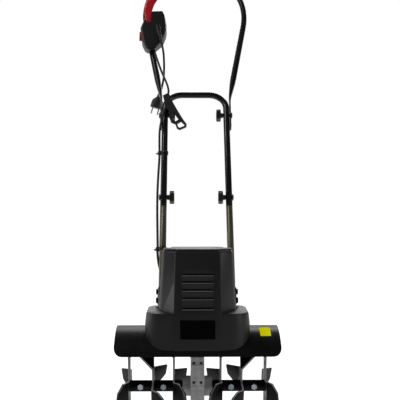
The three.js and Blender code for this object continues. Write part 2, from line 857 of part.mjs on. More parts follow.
// One blade of a star: a flat shank along +Y that is folded sideways on a slanting line
function blade(side, bendShift) {
  const near = bladeBendNear + bendShift;
  const far = bladeBendFar + bendShift;
  const half = bladeWidth / 2;
  const root = bladeRootWidth / 2;
  const overlap = starThickness / 2;
  const shank = [
    [0, -root],
    [near * 0.6, -half * 0.86],
    [near + overlap, -half],
    [far + overlap, half],
    [near * 0.6, half * 0.8],
    [0, root],
  ];
  const flat = pulledX(shank, -starThickness / 2, starThickness / 2);
  const reach = bladeReach - Math.max(0, bendShift) / 2;
  const tip = [
    [near - overlap, -half],
    [reach * 0.86, -half * 1.04],
    [reach, -half * 0.16],
    [reach * 0.965, half * 0.86],
    [far - overlap, half],
  ];
  const plate = pulledX(tip, -starThickness / 2, starThickness / 2);
  const foldStart = new THREE.Vector3(0, near, -half);
  const foldLine = new THREE.Vector3(0, far - near, bladeWidth).normalize();
  const fold = new THREE.Matrix4()
    .makeTranslation(foldStart.x, foldStart.y, foldStart.z)
    .multiply(new THREE.Matrix4().makeRotationAxis(foldLine, -side * bladeFoldAngle * rad))
    .multiply(new THREE.Matrix4().makeTranslation(-foldStart.x, -foldStart.y, -foldStart.z));
  return joined(flat, plate.applyMatrix4(fold));
}

// A star of four blades; angles count from the front, rising
function star(place, phase, bends) {
  const eye = rodX(bladeRootWidth * 0.66, -starThickness / 2, starThickness / 2, 0, 0, 16);
  const arms = bends.map(([side, shift], i) => {
    const angle = (180 - phase - 90 * i) * rad;
    return geometryOf(blade(side, shift)).rotateX(angle);
  });
  return geometryOf(joined(eye, ...arms)).translate(place, 0, 0);
}

function tineSet(start, end, bolts, stars) {
  const sleeve = rodX(sleeveRadius, start, end, 0, 0, 16);
  const bore = rodX(clearing(shaftRadius, 16), start - cutOverrun, end + cutOverrun, 0, 0, 16);
  const holes = bolts.map((x) => rodY(boltHole, -2 * sleeveRadius, 2 * sleeveRadius, x, 0, 10));
  return geometryOf(cut(joined(sleeve, ...stars), bore, ...holes)).translate(0, 0, axisHeight);
}

// Outward is +X here: 1 folds a tip outwards and -1 inwards
function makeTines() {
  const early = -bladeEarlyBend;
  const late = bladeLateBend;
  const innerStart = bossReach + 3 * runningGap;
  const innerStar = star(innerStarPlace, outerStarPhase, [
    [-1, 0],
    [1, late],
    [-1, 0],
    [1, late],
  ]);
  const middleStar = star(middleStarPlace, middleStarPhase, [
    [-1, 0],
    [1, early],
    [-1, late],
    [1, early],
  ]);
  const outerStar = star(outerStarPlace, outerStarPhase, [
    [1, 0],
    [-1, late],
    [1, 0],
    [-1, late],
  ]);
  const inner = tineSet(innerStart, sleeveJoint, [innerBoltPlace], [innerStar, middleStar]);
  const outer = tineSet(sleeveJoint + seatGap, sleeveEnd, [outerBoltPlace], [outerStar]);
  piece("tine_set_inner_right", inner, "tinePaint");
  piece("tine_set_inner_left", mirroredX(inner), "tinePaint");
  piece("tine_set_outer_right", outer, "tinePaint");
  piece("tine_set_outer_left", mirroredX(outer), "tinePaint");
}

function hexY(acrossFlats, y0, y1, x, z) {
  return rodY(acrossFlats / 2 / Math.cos(30 * rad), y0, y1, x, z, 6);
}

function makeTineBolts() {
  const places = { inner: innerBoltPlace, outer: outerBoltPlace };
  const seat = sleeveRadius + seatGap;
  for (const [name, place] of Object.entries(places)) {
    for (const [side, sign] of Object.entries({ right: 1, left: -1 })) {
      const x = sign * place;
      const shank = rodY(boltRadius, -seat - 1, seat + hexHeight + 4, x, axisHeight, 10);
      const head = hexY(hexAcrossFlats, -seat - hexHeight, -seat, x, axisHeight);
      const nut = hexY(hexAcrossFlats, seat, seat + hexHeight, x, axisHeight);
      piece("tine_bolt_" + name + "_" + side, geometryOf(joined(shank, head, nut)), "zinc");
    }
  }
}

// Sheet steel guard: an arc with lips turned in at both ends and rounded front corners
function makeGuard() {
  const outer = arcPoints(guardRadius, 180 - guardFrontAngle, 180 - guardRearAngle, 30, [0, axisHeight]);
  const inner = arcPoints(guardRadius - guardSheet, 180 - guardRearAngle, 180 - guardFrontAngle, 30, [0, axisHeight]);
  const lipInner = arcPoints(guardRadius - guardLip, 180 - guardRearAngle, 180 - guardFrontAngle, 30, [0, axisHeight]);
  const half = guardWidth / 2;
  const sheet = pulledX([...outer, ...inner], -half, half);
  const lips = [-half, half - guardSheet].map((x) => pulledX([...outer, ...lipInner], x, x + guardSheet));
  const front = axisHeight + guardRadius * Math.sin(guardFrontAngle * rad);
  const corner = guardCorner;
  const outline = [
    ...arcPoints(corner, -90, 0, 6, [half - corner, front + corner]),
    [half, guardTop + cutOverrun],
    [-half, guardTop + cutOverrun],
    ...arcPoints(corner, 180, 270, 6, [-half + corner, front + corner]),
  ];
  const frontShape = joined(
    pulledY(outline, -guardRadius - cutOverrun, 0),
    block(-half, half, 0, 2 * guardRadius, 0, 2 * guardRadius),
  );
  const slot = block(
    -caseHalfWidth - plateHoleGap,
    caseHalfWidth + plateHoleGap,
    motorDepth - neckHalfDepth - ribDepth - plateHoleGap,
    motorDepth + neckHalfDepth + plateHoleGap,
    axisHeight,
    guardTop + cutOverrun,
  );
  piece("tine_guard", geometryOf(joined(sheet, ...lips).intersect(frontShape).subtract(solidOf(slot))), "paint");
}

// Base plate that carries the motor, the guard and the two handle ears
function makeBasePlate() {
  const earOuter = tubeHalfSpacing - tubeRadius - seatGap;
  const top = handleFootHeight + earRise;
  const lean = earRise / Math.tan(handleSlope * rad);
  const earOutline = [
    [plateRear - earDepth * 1.5, plateLevel],
    [plateRear, plateLevel],
    [handleFootDepth + earDepth / 2 + lean, top],
    [handleFootDepth - earDepth / 3 + lean, top],
  ];
  const plate = block(-plateHalfWidth, plateHalfWidth, plateFront, plateRear, plateLevel, plateTop);
  const ears = [-earOuter, earOuter - plateThickness].map((x) => pulledX(earOutline, x, x + plateThickness));
  const neckHole = block(
    -caseHalfWidth - plateHoleGap,
    caseHalfWidth + plateHoleGap,
    motorDepth - neckHalfDepth - ribDepth - plateHoleGap,
    motorDepth + neckHalfDepth + plateHoleGap,
    plateLevel - cutOverrun,
    plateTop + cutOverrun,
  );
  const boltHoles = [-1, 1].map((end) => {
    const along = (end * clampBoltSpacing) / 2;
    const y = handleFootDepth + along * Math.cos(handleSlope * rad);
    const z = handleFootHeight + along * Math.sin(handleSlope * rad);
    return rodX(boltHole, -plateHalfWidth, plateHalfWidth, y, z, 12);
  });
  piece("base_plate", geometryOf(cut(joined(plate, ...ears), neckHole, ...boltHoles)), "paint");
}

// Housing outlines. inset shrinks an outline evenly for the inner wall
function roundedCorner(corner, before, after, radius, steps) {
  const c = new THREE.Vector2(...corner);
  const u = new THREE.Vector2(...before).sub(c).normalize();
  const v = new THREE.Vector2(...after).sub(c).normalize();
  const half = Math.acos(THREE.MathUtils.clamp(u.dot(v), -1, 1)) / 2;
  const run = radius / Math.tan(half);
  const start = c.clone().addScaledVector(u, run);
  const end = c.clone().addScaledVector(v, run);
  const middle = c.clone().addScaledVector(u.clone().add(v).normalize(), radius / Math.sin(half));
  const a0 = Math.atan2(start.y - middle.y, start.x - middle.x);
  const turn = Math.atan2(end.y - middle.y, end.x - middle.x) - a0;
  const sweep = Math.atan2(Math.sin(turn), Math.cos(turn));
  return Array.from({ length: steps + 1 }, (_, i) => {
    const angle = a0 + (sweep * i) / steps;
    return [middle.x + radius * Math.cos(angle), middle.y + radius * Math.sin(angle)];
  });
}

function softened(points, radii, steps) {
  return points.flatMap((point, i) => {
    const before = points[(i + points.length - 1) % points.length];
    const after = points[(i + 1) % points.length];
    return radii[i] > 0 ? roundedCorner(point, before, after, radii[i], steps) : [point];
  });
}

function skirtOutline(halfWidth, inset) {
  const x = halfWidth - inset;
  const front = skirtFront + inset;
  const rear = skirtRear - inset;
  const corner = skirtCorner - inset;
  const corners = [
    [x, front],
    [x, rear],
    [-x, rear],
    [-x, front],
  ];
  return softened(corners, [corner, corner * 0.6, corner * 0.6, corner], 5);
}

function towerOutline(rise, inset) {
  const share = THREE.MathUtils.clamp(rise, 0, 1);
  const side = THREE.MathUtils.lerp(towerFootHalfWidth, towerHeadHalfWidth, share) - inset;
  const front = THREE.MathUtils.lerp(towerFootFront, towerHeadFront, share) + inset;
  const panel = THREE.MathUtils.lerp(panelFootHalfWidth, panelHeadHalfWidth, share) - inset;
  const neck = towerNeckHalfWidth - inset;
  const rear = towerRear - inset;
  const facet = front + panelStep;
  const right = [
    [panel - panelRound, front],
    [panel, front + panelRound],
    [panel + panelRound / 3, facet],
    [side - towerSideRound, towerSideFront + inset - towerSideRound],
    [side - towerSideRound / 5, towerSideFront + inset],
    [side, towerSideFront + inset + towerSideRound],
    [side, towerNarrowing - inset - panelRound],
    [side - panelRound, towerNarrowing - inset],
    [neck, towerNarrowing - inset],
    [neck, rear - towerRearRound],
    [neck - towerRearRound / 3, rear - towerRearRound / 3],
    [neck - towerRearRound, rear],
  ];
  const left = right.map(([x, y]) => [-x, y]).reverse();
  return [...right, ...left];
}

function ringAt(outline, z) {
  return outline.map(([x, y]) => new THREE.Vector3(x, y, z));
}

function skirtSolid(inset) {
  const low = axisHeight + guardRadius / 3;
  const width = skirtHalfWidth;
  const levels = [
    [low, width, inset],
    [skirtTop - skirtEdge * 4, width, inset],
    [skirtTop - skirtEdge, skirtTopHalfWidth, inset],
    [skirtTop - skirtEdge * 0.3 - inset * 0.7, skirtTopHalfWidth, inset + skirtEdge * 0.3],
    [skirtTop - inset, skirtTopHalfWidth, inset + skirtEdge],
  ];
  return solidOf(lofted(levels.map(([z, half, shrink]) => ringAt(skirtOutline(half, shrink), z))));
}

function towerSolid(inset) {
  const height = towerTop - towerFoot;
  const rise = (z) => (z - towerFoot) / height;
  const wallTop = towerTop - capHeight;
  const levels = [
    [towerFoot, inset],
    [towerFoot + height / 2, inset],
    [wallTop - capInset - inset, inset],
    [wallTop - capInset * 0.3 - inset, inset + capInset * 0.3],
    [wallTop - inset, inset + capInset],
    [towerTop - capEdge - inset, inset + capInset],
    [towerTop - capEdge * 0.3 - inset, inset + capInset + capEdge * 0.3],
    [towerTop - inset, inset + capInset + capEdge],
  ];
  return solidOf(lofted(levels.map(([z, shrink]) => ringAt(towerOutline(rise(z), shrink), z))));
}

// The panel's front face at a height
function panelFront(z) {
  return THREE.MathUtils.lerp(towerFootFront, towerHeadFront, (z - towerFoot) / (towerTop - towerFoot));
}

// The panel runs on down over the skirt's front
function apronSolid() {
  const low = axisHeight + guardRadius / 3;
  const outline = [
    [-panelFootHalfWidth, skirtFront + housingWall],
    [-panelFootHalfWidth, towerFootFront + panelRound],
    [-panelFootHalfWidth + panelRound, towerFootFront],
    [panelFootHalfWidth - panelRound, towerFootFront],
    [panelFootHalfWidth, towerFootFront + panelRound],
    [panelFootHalfWidth, skirtFront + housingWall],
  ];
  return solidOf(pulledZ(outline, low, towerFoot));
}

// Louvres: each slat slopes inwards from its ledge, with an air slit above the ledge below it
function louvreCuts() {
  const cuts = [];
  louvreLedges.forEach((ledge, i) => {
    const top = i === 0 ? louvreTop : louvreLedges[i - 1] - louvreLip;
    const lipFoot = ledge - louvreLip;
    const outline = [
      [panelFront(top) - cutOverrun, top],
      [panelFront(top), top],
      [panelFront(ledge) + louvreDepth, ledge],
      [panelFront(ledge) + louvreLip, ledge],
      [panelFront(lipFoot), lipFoot],
      [panelFront(lipFoot) - cutOverrun, lipFoot],
    ];
    cuts.push(pulledX(outline, -louvreHalfWidth, louvreHalfWidth));
    const slit = [
      [panelFront(ledge), ledge],
      [panelFront(ledge) + 3 * louvreDepth, ledge + louvreSlit],
      [panelFront(ledge) + 3 * louvreDepth, ledge + 2 * louvreSlit],
      [panelFront(ledge), ledge + louvreSlit],
    ];
    cuts.push(pulledX(slit, -louvreHalfWidth + louvreSlit, louvreHalfWidth - louvreSlit));
  });
  return cuts;
}

function makeHousing() {
  const outer = skirtSolid(0).add(towerSolid(0)).add(apronSolid());
  const backing = louvreBacking();
  const inner = skirtSolid(housingWall).add(towerSolid(housingWall));
  const guardForm = rodX(clearing(guardRadius, 72), -guardWidth, guardWidth, 0, axisHeight, 72);
  const earOuter = tubeHalfSpacing - tubeRadius - seatGap;
  const slotGap = 2 * seatGap;
  const slotHalf = plateThickness / 2 + slotGap;
  const earSlots = [-1, 1].map((side) => {
    const middle = side * (earOuter - plateThickness / 2);
    const front = plateRear - earDepth * 1.5 - slotGap;
    return block(middle - slotHalf, middle + slotHalf, front, plateRear + earDepth, plateLevel, skirtTop + cutOverrun);
  });
  const tubeWays = [-1, 1].map((side) => tubeWay(side));
  const hollow = inner.subtract(backing);
  const shell = cut(outer, hollow, guardForm, ...louvreCuts(), ...earSlots, ...tubeWays);
  const far = 2 * guardWidth;
  const front = block(-far, far, -far, splitDepth - seatGap / 2, 0, far);
  const rear = block(-far, far, splitDepth + seatGap / 2, far, 0, far);
  piece("housing_front", geometryOf(shell.intersect(solidOf(front))), "plastic");
  piece("housing_rear", geometryOf(cut(shell.intersect(solidOf(rear)), ...rearVents(), cableWay())), "plastic");
}

// Thicker wall behind the louvres, which keeps the slats whole
function louvreBacking() {
  const low = louvreLedges.at(-1) - louvreLip - 2 * louvreSlit;
  const high = louvreTop;
  const depth = louvreDepth + housingWall;
  const outline = [
    [panelFront(low), low],
    [panelFront(low) + depth, low],
    [panelFront(high) + depth, high],
    [panelFront(high), high],
  ];
  return solidOf(pulledX(outline, -louvreHalfWidth - housingWall, louvreHalfWidth + housingWall));
}

// Room for a lower tube and its clamp where they dip into the skirt's top
function tubeWay(side) {
  const radius = tubeRadius + 2 * clampSheet + clampHeadHeight;
  const geometry = rodZ(radius, lowerTubeEnd - 2 * clampSheet, clampLength, side * tubeHalfSpacing, 0, 16);
  return geometry.rotateX(handle.rotation.x).translate(0, handleFootDepth, handleFootHeight);
}

function rearVents() {
  return [0, 1, 2, 3, 4].map((i) => {
    const z = towerTop - 4 * louvreSlit - i * 5 * louvreSlit;
    return block(-louvreHalfWidth, louvreHalfWidth, towerRear - 2 * housingWall, towerRear + cutOverrun, z - louvreSlit, z);
  });
}

// Hole in the tower's rear wall where the motor cable goes in
function cableWay() {
  const ends = routeInHandle(cableRoute.slice(-2));
  const [before, end] = ends.map((point) => point.applyEuler(handle.rotation).add(handle.position));
  const share = (before.y - towerRear + housingWall / 2) / (before.y - end.y);
  const middle = before.lerp(end, share);
  return rodY(cableHoleRadius, towerRear - 2 * housingWall, towerRear + cutOverrun, middle.x, middle.z, 12);
}

function makeBadge() {
  const back = towerFootFront - seatGap;
  const half = badgeWidth / 2;
  piece(
    "badge_plate",
    block(-half, half, back - badgeThickness, back, badgePlace - badgeHeight / 2, badgePlace + badgeHeight / 2),
    "gloss",
  );
}

// Handle tubes
function makeLowerTubes() {
  const bore = swageRadius - tubeWall;
  const profile = [
    [bore, lowerTubeEnd],
    [tubeRadius, lowerTubeEnd],
    [tubeRadius, seamPlace - seatGap],
    [swageRadius, seamPlace - seatGap],
    [swageRadius, seamPlace + swageLength],
    [bore, seamPlace + swageLength],
    [bore, lowerTubeEnd],
  ];
  const tube = solidOf(turnedZ(profile, 12).translate(tubeHalfSpacing, 0, 0));
  const crossHoles = [-clampBoltSpacing / 2, clampBoltSpacing / 2, lowerBoltPlace].map((z) =>
    rodX(boltHole, tubeHalfSpacing - 2 * tubeRadius, tubeHalfSpacing + 2 * tubeRadius, 0, z, 8),
  );
  const right = cut(tube, ...crossHoles);
  piece("lower_tube_right", geometryOf(right), "paint", handle);
  piece("lower_tube_left", mirroredX(right), "paint", handle);
}

// Clamp: a saddle over the tube with its two bolts, which pass through the tube and the ear
function makeTubeClamps() {
  const bore = clearing(tubeRadius, 18);
  const outer = bore + clampSheet;
  const arc = [
    ...arcPoints(outer, -80, 80, 8, [tubeHalfSpacing, 0]),
    ...arcPoints(bore, 80, -80, 8, [tubeHalfSpacing, 0]),
  ];
  const saddle = pulledZ(arc, -clampLength / 2, clampLength / 2);
  const inside = tubeHalfSpacing - tubeRadius - 2 * seatGap - plateThickness;
  const bolts = [-1, 1].map((end) => {
    const z = (end * clampBoltSpacing) / 2;
    const shank = rodX(boltRadius, inside - hexHeight, tubeHalfSpacing + outer, 0, z, 12);
    const head = rodX(boltHeadRadius * 0.8, tubeHalfSpacing + outer - 1, tubeHalfSpacing + outer + clampHeadHeight, 0, z, 12);
    const nut = rodX(hexAcrossFlats / 2, inside - hexHeight, inside, 0, z, 6);
    return joined(shank, head, nut);
  });
  const clamp = joined(saddle, ...bolts);
  piece("tube_clamp_right", geometryOf(clamp), "paint", handle);
  piece("tube_clamp_left", mirroredX(clamp), "paint", handle);
}

function ringShape(outer, inner, sides) {
  const circle = (radius) =>
    Array.from({ length: sides }, (_, i) => {
      const angle = (2 * Math.PI * i) / sides;
      return new THREE.Vector2(radius * Math.cos(angle), radius * Math.sin(angle));
    });
  const shape = new THREE.Shape(circle(outer));
  if (inner > 0) shape.holes.push(new THREE.Path(circle(inner)));
  return shape;
}

function inHandlePlane(path, arcStep) {
  const points = [];
  for (const curve of path.curves) {
    const steps = curve.isLineCurve ? 1 : Math.ceil(Math.abs(curve.aEndAngle - curve.aStartAngle) / arcStep);
    for (const p of curve.getPoints(steps)) {
      const last = points.at(-1);
      if (!last || Math.hypot(p.x - last.x, p.y - last.z) > tubeWall) points.push(new THREE.Vector3(p.x, 0, p.y));
    }
  }
  return points;
}

// Sweeps a section along points in the plane of the handle; sizes gives half width, half depth and squareness at each
function sweptInPlane(points, sizes, sides) {
  const rings = points.map((point, i) => {
    const before = points[Math.max(0, i - 1)];
    const after = points[Math.min(points.length - 1, i + 1)];
    const run = new THREE.Vector3().subVectors(after, before).normalize();
    const across = new THREE.Vector3(run.z, 0, -run.x);
    const [halfWidth, halfDepth, square] = sizes(point, i);
    return Array.from({ length: sides }, (_, k) => {
      const angle = (2 * Math.PI * k) / sides;
      const c = Math.sign(Math.cos(angle)) * Math.abs(Math.cos(angle)) ** square;
      const s = Math.sign(Math.sin(angle)) * Math.abs(Math.sin(angle)) ** square;
      return point
        .clone()
        .addScaledVector(across, halfWidth * c)
        .add(new THREE.Vector3(0, halfDepth * s, 0));
    });
  });
  return lofted(rings);
}

function makeMiddleTube() {
  const path = new THREE.Path();
  const side = tubeHalfSpacing;
  const bend = crossbarPlace - crossbarCorner;
  path.moveTo(side, seamPlace);
  path.lineTo(side, bend);
  path.absarc(side - crossbarCorner, bend, crossbarCorner, 0, 90 * rad, false);
  path.lineTo(-side + crossbarCorner, crossbarPlace);
  path.absarc(-side + crossbarCorner, bend, crossbarCorner, 90 * rad, 180 * rad, false);
  path.lineTo(-side, seamPlace);
  const points = inHandlePlane(path, 15 * rad);
  const outer = sweptInPlane(points, () => [tubeRadius, tubeRadius, 1], 12);
  const longer = points.map((p, i) => (i === 0 || i === points.length - 1 ? p.clone().setZ(p.z - cutOverrun) : p));
  const bore = sweptInPlane(longer, () => [tubeRadius - tubeWall, tubeRadius - tubeWall, 1], 12);
  const holes = [lowerBoltPlace, foldBoltPlace].map((z) => rodX(boltHole, -2 * side, 2 * side, 0, z, 8));
  piece("middle_tube", geometryOf(cut(outer, bore, ...holes)), "paint", handle);
}

function hoopPath() {
  const path = new THREE.Path();
  const sideCentre = hoopHalfWidth - hoopSideRadius;
  const cornerGap = hoopSideRadius - hoopCornerRadius;
  const cornerX = sideCentre + cornerGap * Math.cos(hoopTurnAngle * rad);
  const cornerZ = hoopWidestPlace + cornerGap * Math.sin(hoopTurnAngle * rad);
  path.moveTo(hoopLegPlace, hoopEnd);
  path.lineTo(hoopLegPlace, hoopFlatTop);
  path.lineTo(hoopLegPlace, hoopKink);
  path.lineTo(hoopLegPlace + (hoopKink / 8) * Math.tan(hoopSplayAngle * rad), hoopKink + hoopKink / 8);
  path.absarc(sideCentre, hoopWidestPlace, hoopSideRadius, -hoopSplayAngle * rad, hoopTurnAngle * rad, false);
  path.absarc(cornerX, cornerZ, hoopCornerRadius, hoopTurnAngle * rad, 90 * rad, false);
  path.absarc(-cornerX, cornerZ, hoopCornerRadius, 90 * rad, (180 - hoopTurnAngle) * rad, false);
  path.absarc(
    -sideCentre,
    hoopWidestPlace,
    hoopSideRadius,
    (180 - hoopTurnAngle) * rad,
    (180 + hoopSplayAngle) * rad,
    false,
  );
  path.lineTo(-hoopLegPlace - (hoopKink / 8) * Math.tan(hoopSplayAngle * rad), hoopKink + hoopKink / 8);
  path.lineTo(-hoopLegPlace, hoopKink);
  path.lineTo(-hoopLegPlace, hoopFlatTop);
  path.lineTo(-hoopLegPlace, hoopEnd);
  return path;
}

function makeHoop() {
  const points = inHandlePlane(hoopPath(), 13 * rad);
  const roundAt = hoopKink + hoopKink / 8;
  const size = (point) => {
    const share = THREE.MathUtils.smoothstep(point.z, hoopFlatTop, roundAt);
    return [
      THREE.MathUtils.lerp(flatThickness / 2, tubeRadius, share),
      THREE.MathUtils.lerp(flatWidth / 2, tubeRadius, share),
      THREE.MathUtils.lerp(0.4, 1, share),
    ];
  };
  const outer = sweptInPlane(points, size, 12);
  const hollowPoints = points.filter((point) => point.z > roundAt - 1);
  const bore = sweptInPlane(hollowPoints, () => [tubeRadius - tubeWall, tubeRadius - tubeWall, 1], 10);
  const boltHoles = rodX(boltHole, -2 * hoopLegPlace, 2 * hoopLegPlace, 0, foldBoltPlace, 8);
  piece("upper_hoop", geometryOf(cut(outer, bore, boltHoles, hoopScrewHole())), "paint", handle);
}

// Hole for the screw that fixes the switch box
function hoopScrewHole() {
  const place = boxLow + boxHeight / 2;
  return rodY(boltHole / 2, 0, 2 * tubeRadius, hoopLegAcross(place), place, 10);
}

// Where the left leg of the hoop is, at a place along the handle
function hoopLegAcross(place) {
  const splay = hoopSplayAngle * rad;
  const lowAcross = hoopLegPlace + (hoopKink / 8) * Math.tan(splay);
  const lowPlace = hoopKink + hoopKink / 8;
  const highAcross = hoopHalfWidth - hoopSideRadius * (1 - Math.cos(splay));
  const highPlace = hoopWidestPlace - hoopSideRadius * Math.sin(splay);
  return -THREE.MathUtils.lerp(lowAcross, highAcross, (place - lowPlace) / (highPlace - lowPlace));
}

function boxLeft() {
  return hoopLegAcross(boxLow + boxHeight / 2) - boxLegShare * boxWidth;
}

// Points given as shares of a frame's width and height
function inFrame(shares, left, low, width, height) {
  return shares.map(([u, v]) => [left + u * width, low + v * height]);
}

function boxPoints(shares) {
  return inFrame(shares, boxLeft(), boxLow, boxWidth, boxHeight);
}

function leverPivotAcross() {
  return hoopLegAcross(leverPivotPlace) + leverAside;
}

// Knobs and their bolts
function knobGeometry() {
  const lobed = Array.from({ length: knobLobes * 4 }, (_, i) => {
    const angle = (2 * Math.PI * i) / (knobLobes * 4);
    const radius = knobRadius - knobLobeDepth * (0.5 - 0.5 * Math.cos(knobLobes * angle));
    return [radius * Math.cos(angle), radius * Math.sin(angle)];
  });
  const face = tubeHalfSpacing - tubeRadius - seatGap;
  const disc = pulledX(lobed, face - knobHubLength - knobThickness, face - knobHubLength);
  const hub = rodX(knobHubRadius, face - knobHubLength - 1, face, 0, 0, 16);
  const bore = rodX(boltHole, face - knobHubLength - knobThickness / 2, face + cutOverrun, 0, 0, 12);
  return geometryOf(cut(joined(disc, hub), bore));
}

function handleBolt(headSeat) {
  const tip = tubeHalfSpacing - tubeRadius - knobHubLength - knobThickness / 4;
  const shank = rodX(boltRadius, tip, headSeat + 1, 0, 0, 12);
  const head = turnedX(
    [
      [0, headSeat],
      [boltHeadRadius, headSeat],
      [boltHeadRadius * 0.9, headSeat + boltHeadHeight * 0.6],
      [boltHeadRadius * 0.5, headSeat + boltHeadHeight],
      [0, headSeat + boltHeadHeight],
    ],
    16,
  );
  return joined(shank, head);
}

function makeKnobs() {
  const knob = knobGeometry();
  const seats = {
    lower: [lowerBoltPlace, tubeHalfSpacing + tubeRadius + seatGap],
    upper: [foldBoltPlace, hoopLegPlace + flatThickness / 2 + seatGap],
  };
  for (const [level, [place, seat]] of Object.entries(seats)) {
    const bolt = handleBolt(seat);
    piece("knob_" + level + "_right", knob.clone().translate(0, 0, place), "plastic", handle);
    piece("knob_" + level + "_left", mirroredX(knob).translate(0, 0, place), "plastic", handle);
    piece("bolt_" + level + "_right", geometryOf(bolt).translate(0, 0, place), "zinc", handle);
    piece("bolt_" + level + "_left", mirroredX(bolt).translate(0, 0, place), "zinc", handle);
  }
}

// Switch box: two shells that clamp round the left leg of the hoop
function boxBody(inset) {
  const boxOutline = boxPoints(boxOutlineShares);
  const middle = boxOutline
    .reduce(([sx, sz], [x, z]) => [sx + x, sz + z], [0, 0])
    .map((sum) => sum / boxOutline.length);
  const shrunk = (points, by) =>
    points.map(([x, z]) => {
      const away = new THREE.Vector2(x - middle[0], z - middle[1]);
      const place = away.clone().setLength(away.length() - by * 1.25);
      return [middle[0] + place.x, middle[1] + place.y];
    });
  const ring = (depth, by) => shrunk(boxOutline, by).map(([x, z]) => new THREE.Vector3(x, depth, z));
  const rings = [
    ring(-boxFrontDepth + inset, inset + boxEdge),
    ring(-boxFrontDepth + inset + boxEdge * 0.3, inset + boxEdge * 0.35),
    ring(-boxFrontDepth + inset + boxEdge, inset),
    ring(boxBackDepth - inset - boxEdge, inset),
    ring(boxBackDepth - inset - boxEdge * 0.3, inset + boxEdge * 0.35),
    ring(boxBackDepth - inset, inset + boxEdge),
  ];
  return solidOf(lofted(rings));
}

function legForm(radius) {
  const points = inHandlePlane(hoopPath(), 13 * rad).filter((point) => point.x < 0 && point.z > hoopKink - 1);
  return sweptInPlane(points, () => [radius, radius, 1], 12);
}

// Opening in the box through which the lever swings
function leverSlot() {
  const half = leverWidth / 2 + runningGap;
  const low = leverPivotPlace - leverThickness;
  return block(
    leverPivotAcross() - half,
    leverPivotAcross() + half,
    -boxFrontDepth - cutOverrun,
    -leverPivotDepth + leverThickness * 0.9,
    low,
    low + 4 * leverWidth,
  );
}

// Two ears inside the box's front that carry the lever's pin
function leverEars() {
  const near = leverWidth / 2 + runningGap;
  const half = leverPinRadius + leverEarThickness;
  const ears = [-near - leverEarThickness, near].map((start) =>
    block(
      leverPivotAcross() + start,
      leverPivotAcross() + start + leverEarThickness,
      -boxFrontDepth + boxWall / 2,
      -leverPivotDepth + half,
      leverPivotPlace - half,
      leverPivotPlace + half,
    ),
  );
  return joined(...ears);
}

function leverPinWay() {
  const far = leverWidth / 2 + runningGap + leverEarThickness;
  return rodX(
    clearing(leverPinRadius, 12),
    leverPivotAcross() - far,
    leverPivotAcross() + far + cutOverrun,
    -leverPivotDepth,
    leverPivotPlace,
    12,
  );
}

function makeSwitchBox() {
  const shell = cut(boxBody(0), boxBody(boxWall));
  const buttonWay = block(
    buttonOuter() - cutOverrun,
    buttonInner() + buttonTravel + seatGap,
    -buttonWidth / 2 - seatGap,
    buttonWidth / 2 + seatGap,
    buttonPlace - buttonLength / 2 - seatGap,
    buttonPlace + buttonLength / 2 + seatGap,
  );
  const cableHole = cableRoute.slice(0, 2).map(([x, z, front]) => new THREE.Vector3(x, -front, z));
  const cableRun = new THREE.Vector3().subVectors(cableHole[0], cableHole[1]);
  const cableTool = smoothTube([cableHole[1], cableHole[0], cableHole[0].clone().add(cableRun)], cableRadius + 2 * seatGap, 3);
  const boss = glandBoss();
  const legWay = legForm(clearing(tubeRadius, 12));
  const filled = joined(shell, boss, leverEars().intersect(boxBody(boxWall / 2)));
  const whole = cut(filled, legWay, leverSlot(), leverPinWay(), buttonWay, cableTool, glandWay());
  const far = 2 * hoopWidestPlace;
  const front = block(-far, far, -far, -seatGap / 2, -far, far);
  const rear = block(-far, far, seatGap / 2, far, -far, far);
  piece("switch_box_front", geometryOf(whole.intersect(solidOf(front))), "plastic", handle);
  piece("switch_box_rear", geometryOf(whole.intersect(solidOf(rear))), "plastic", handle);
}

// The gland leaves a small boss on the box's front and points down to the lead's first point
function glandEnds() {
  const [tipPoint, rootPoint] = boxPoints([glandTipShares, glandRootShares]);
  const [tip, root] = routeInHandle([
    [...tipPoint, glandTipDepth],
    [...rootPoint, glandRootDepth],
  ]);
  const run = root.clone().sub(tip);
  const length = run.length();
  return { tip, root, length, run: run.normalize() };
}

function along(geometry, start, direction) {
  const turn = new THREE.Quaternion().setFromUnitVectors(new THREE.Vector3(0, 0, 1), direction);
  return geometry.applyQuaternion(turn).translate(start.x, start.y, start.z);
}

function glandBoss() {
  const { root, run } = glandEnds();
  const start = root.clone().addScaledVector(run, seatGap);
  return along(rodZ(glandRootRadius + 1.6, 0, 2.4 * glandRootRadius, 0, 0, 12), start, run);
}

// Shallow seat for the gland in the box's front
function glandWay() {
  const { tip, run, length } = glandEnds();
  return along(rodZ(clearing(glandRootRadius + 1.4, 14), 0, length + seatGap, 0, 0, 14), tip, run);
}

function makeGland() {
  const { tip, run, length } = glandEnds();
  const start = tip.clone().addScaledVector(run, seatGap);
  const glandLength = length - seatGap;
  const profile = [
    [0, 0],
    [glandTipRadius, 0],
    [glandTipRadius * 1.12, glandLength * 0.1],
    [glandTipRadius * 1.05, glandLength * 0.14],
    [glandRootRadius, glandLength * 0.9],
    [glandRootRadius + 1.4, glandLength * 0.92],
    [glandRootRadius + 1.4, glandLength],
    [0, glandLength],
  ];
  piece("cord_gland", along(turnedZ(profile, 14), start, run), "rubber", handle);
}

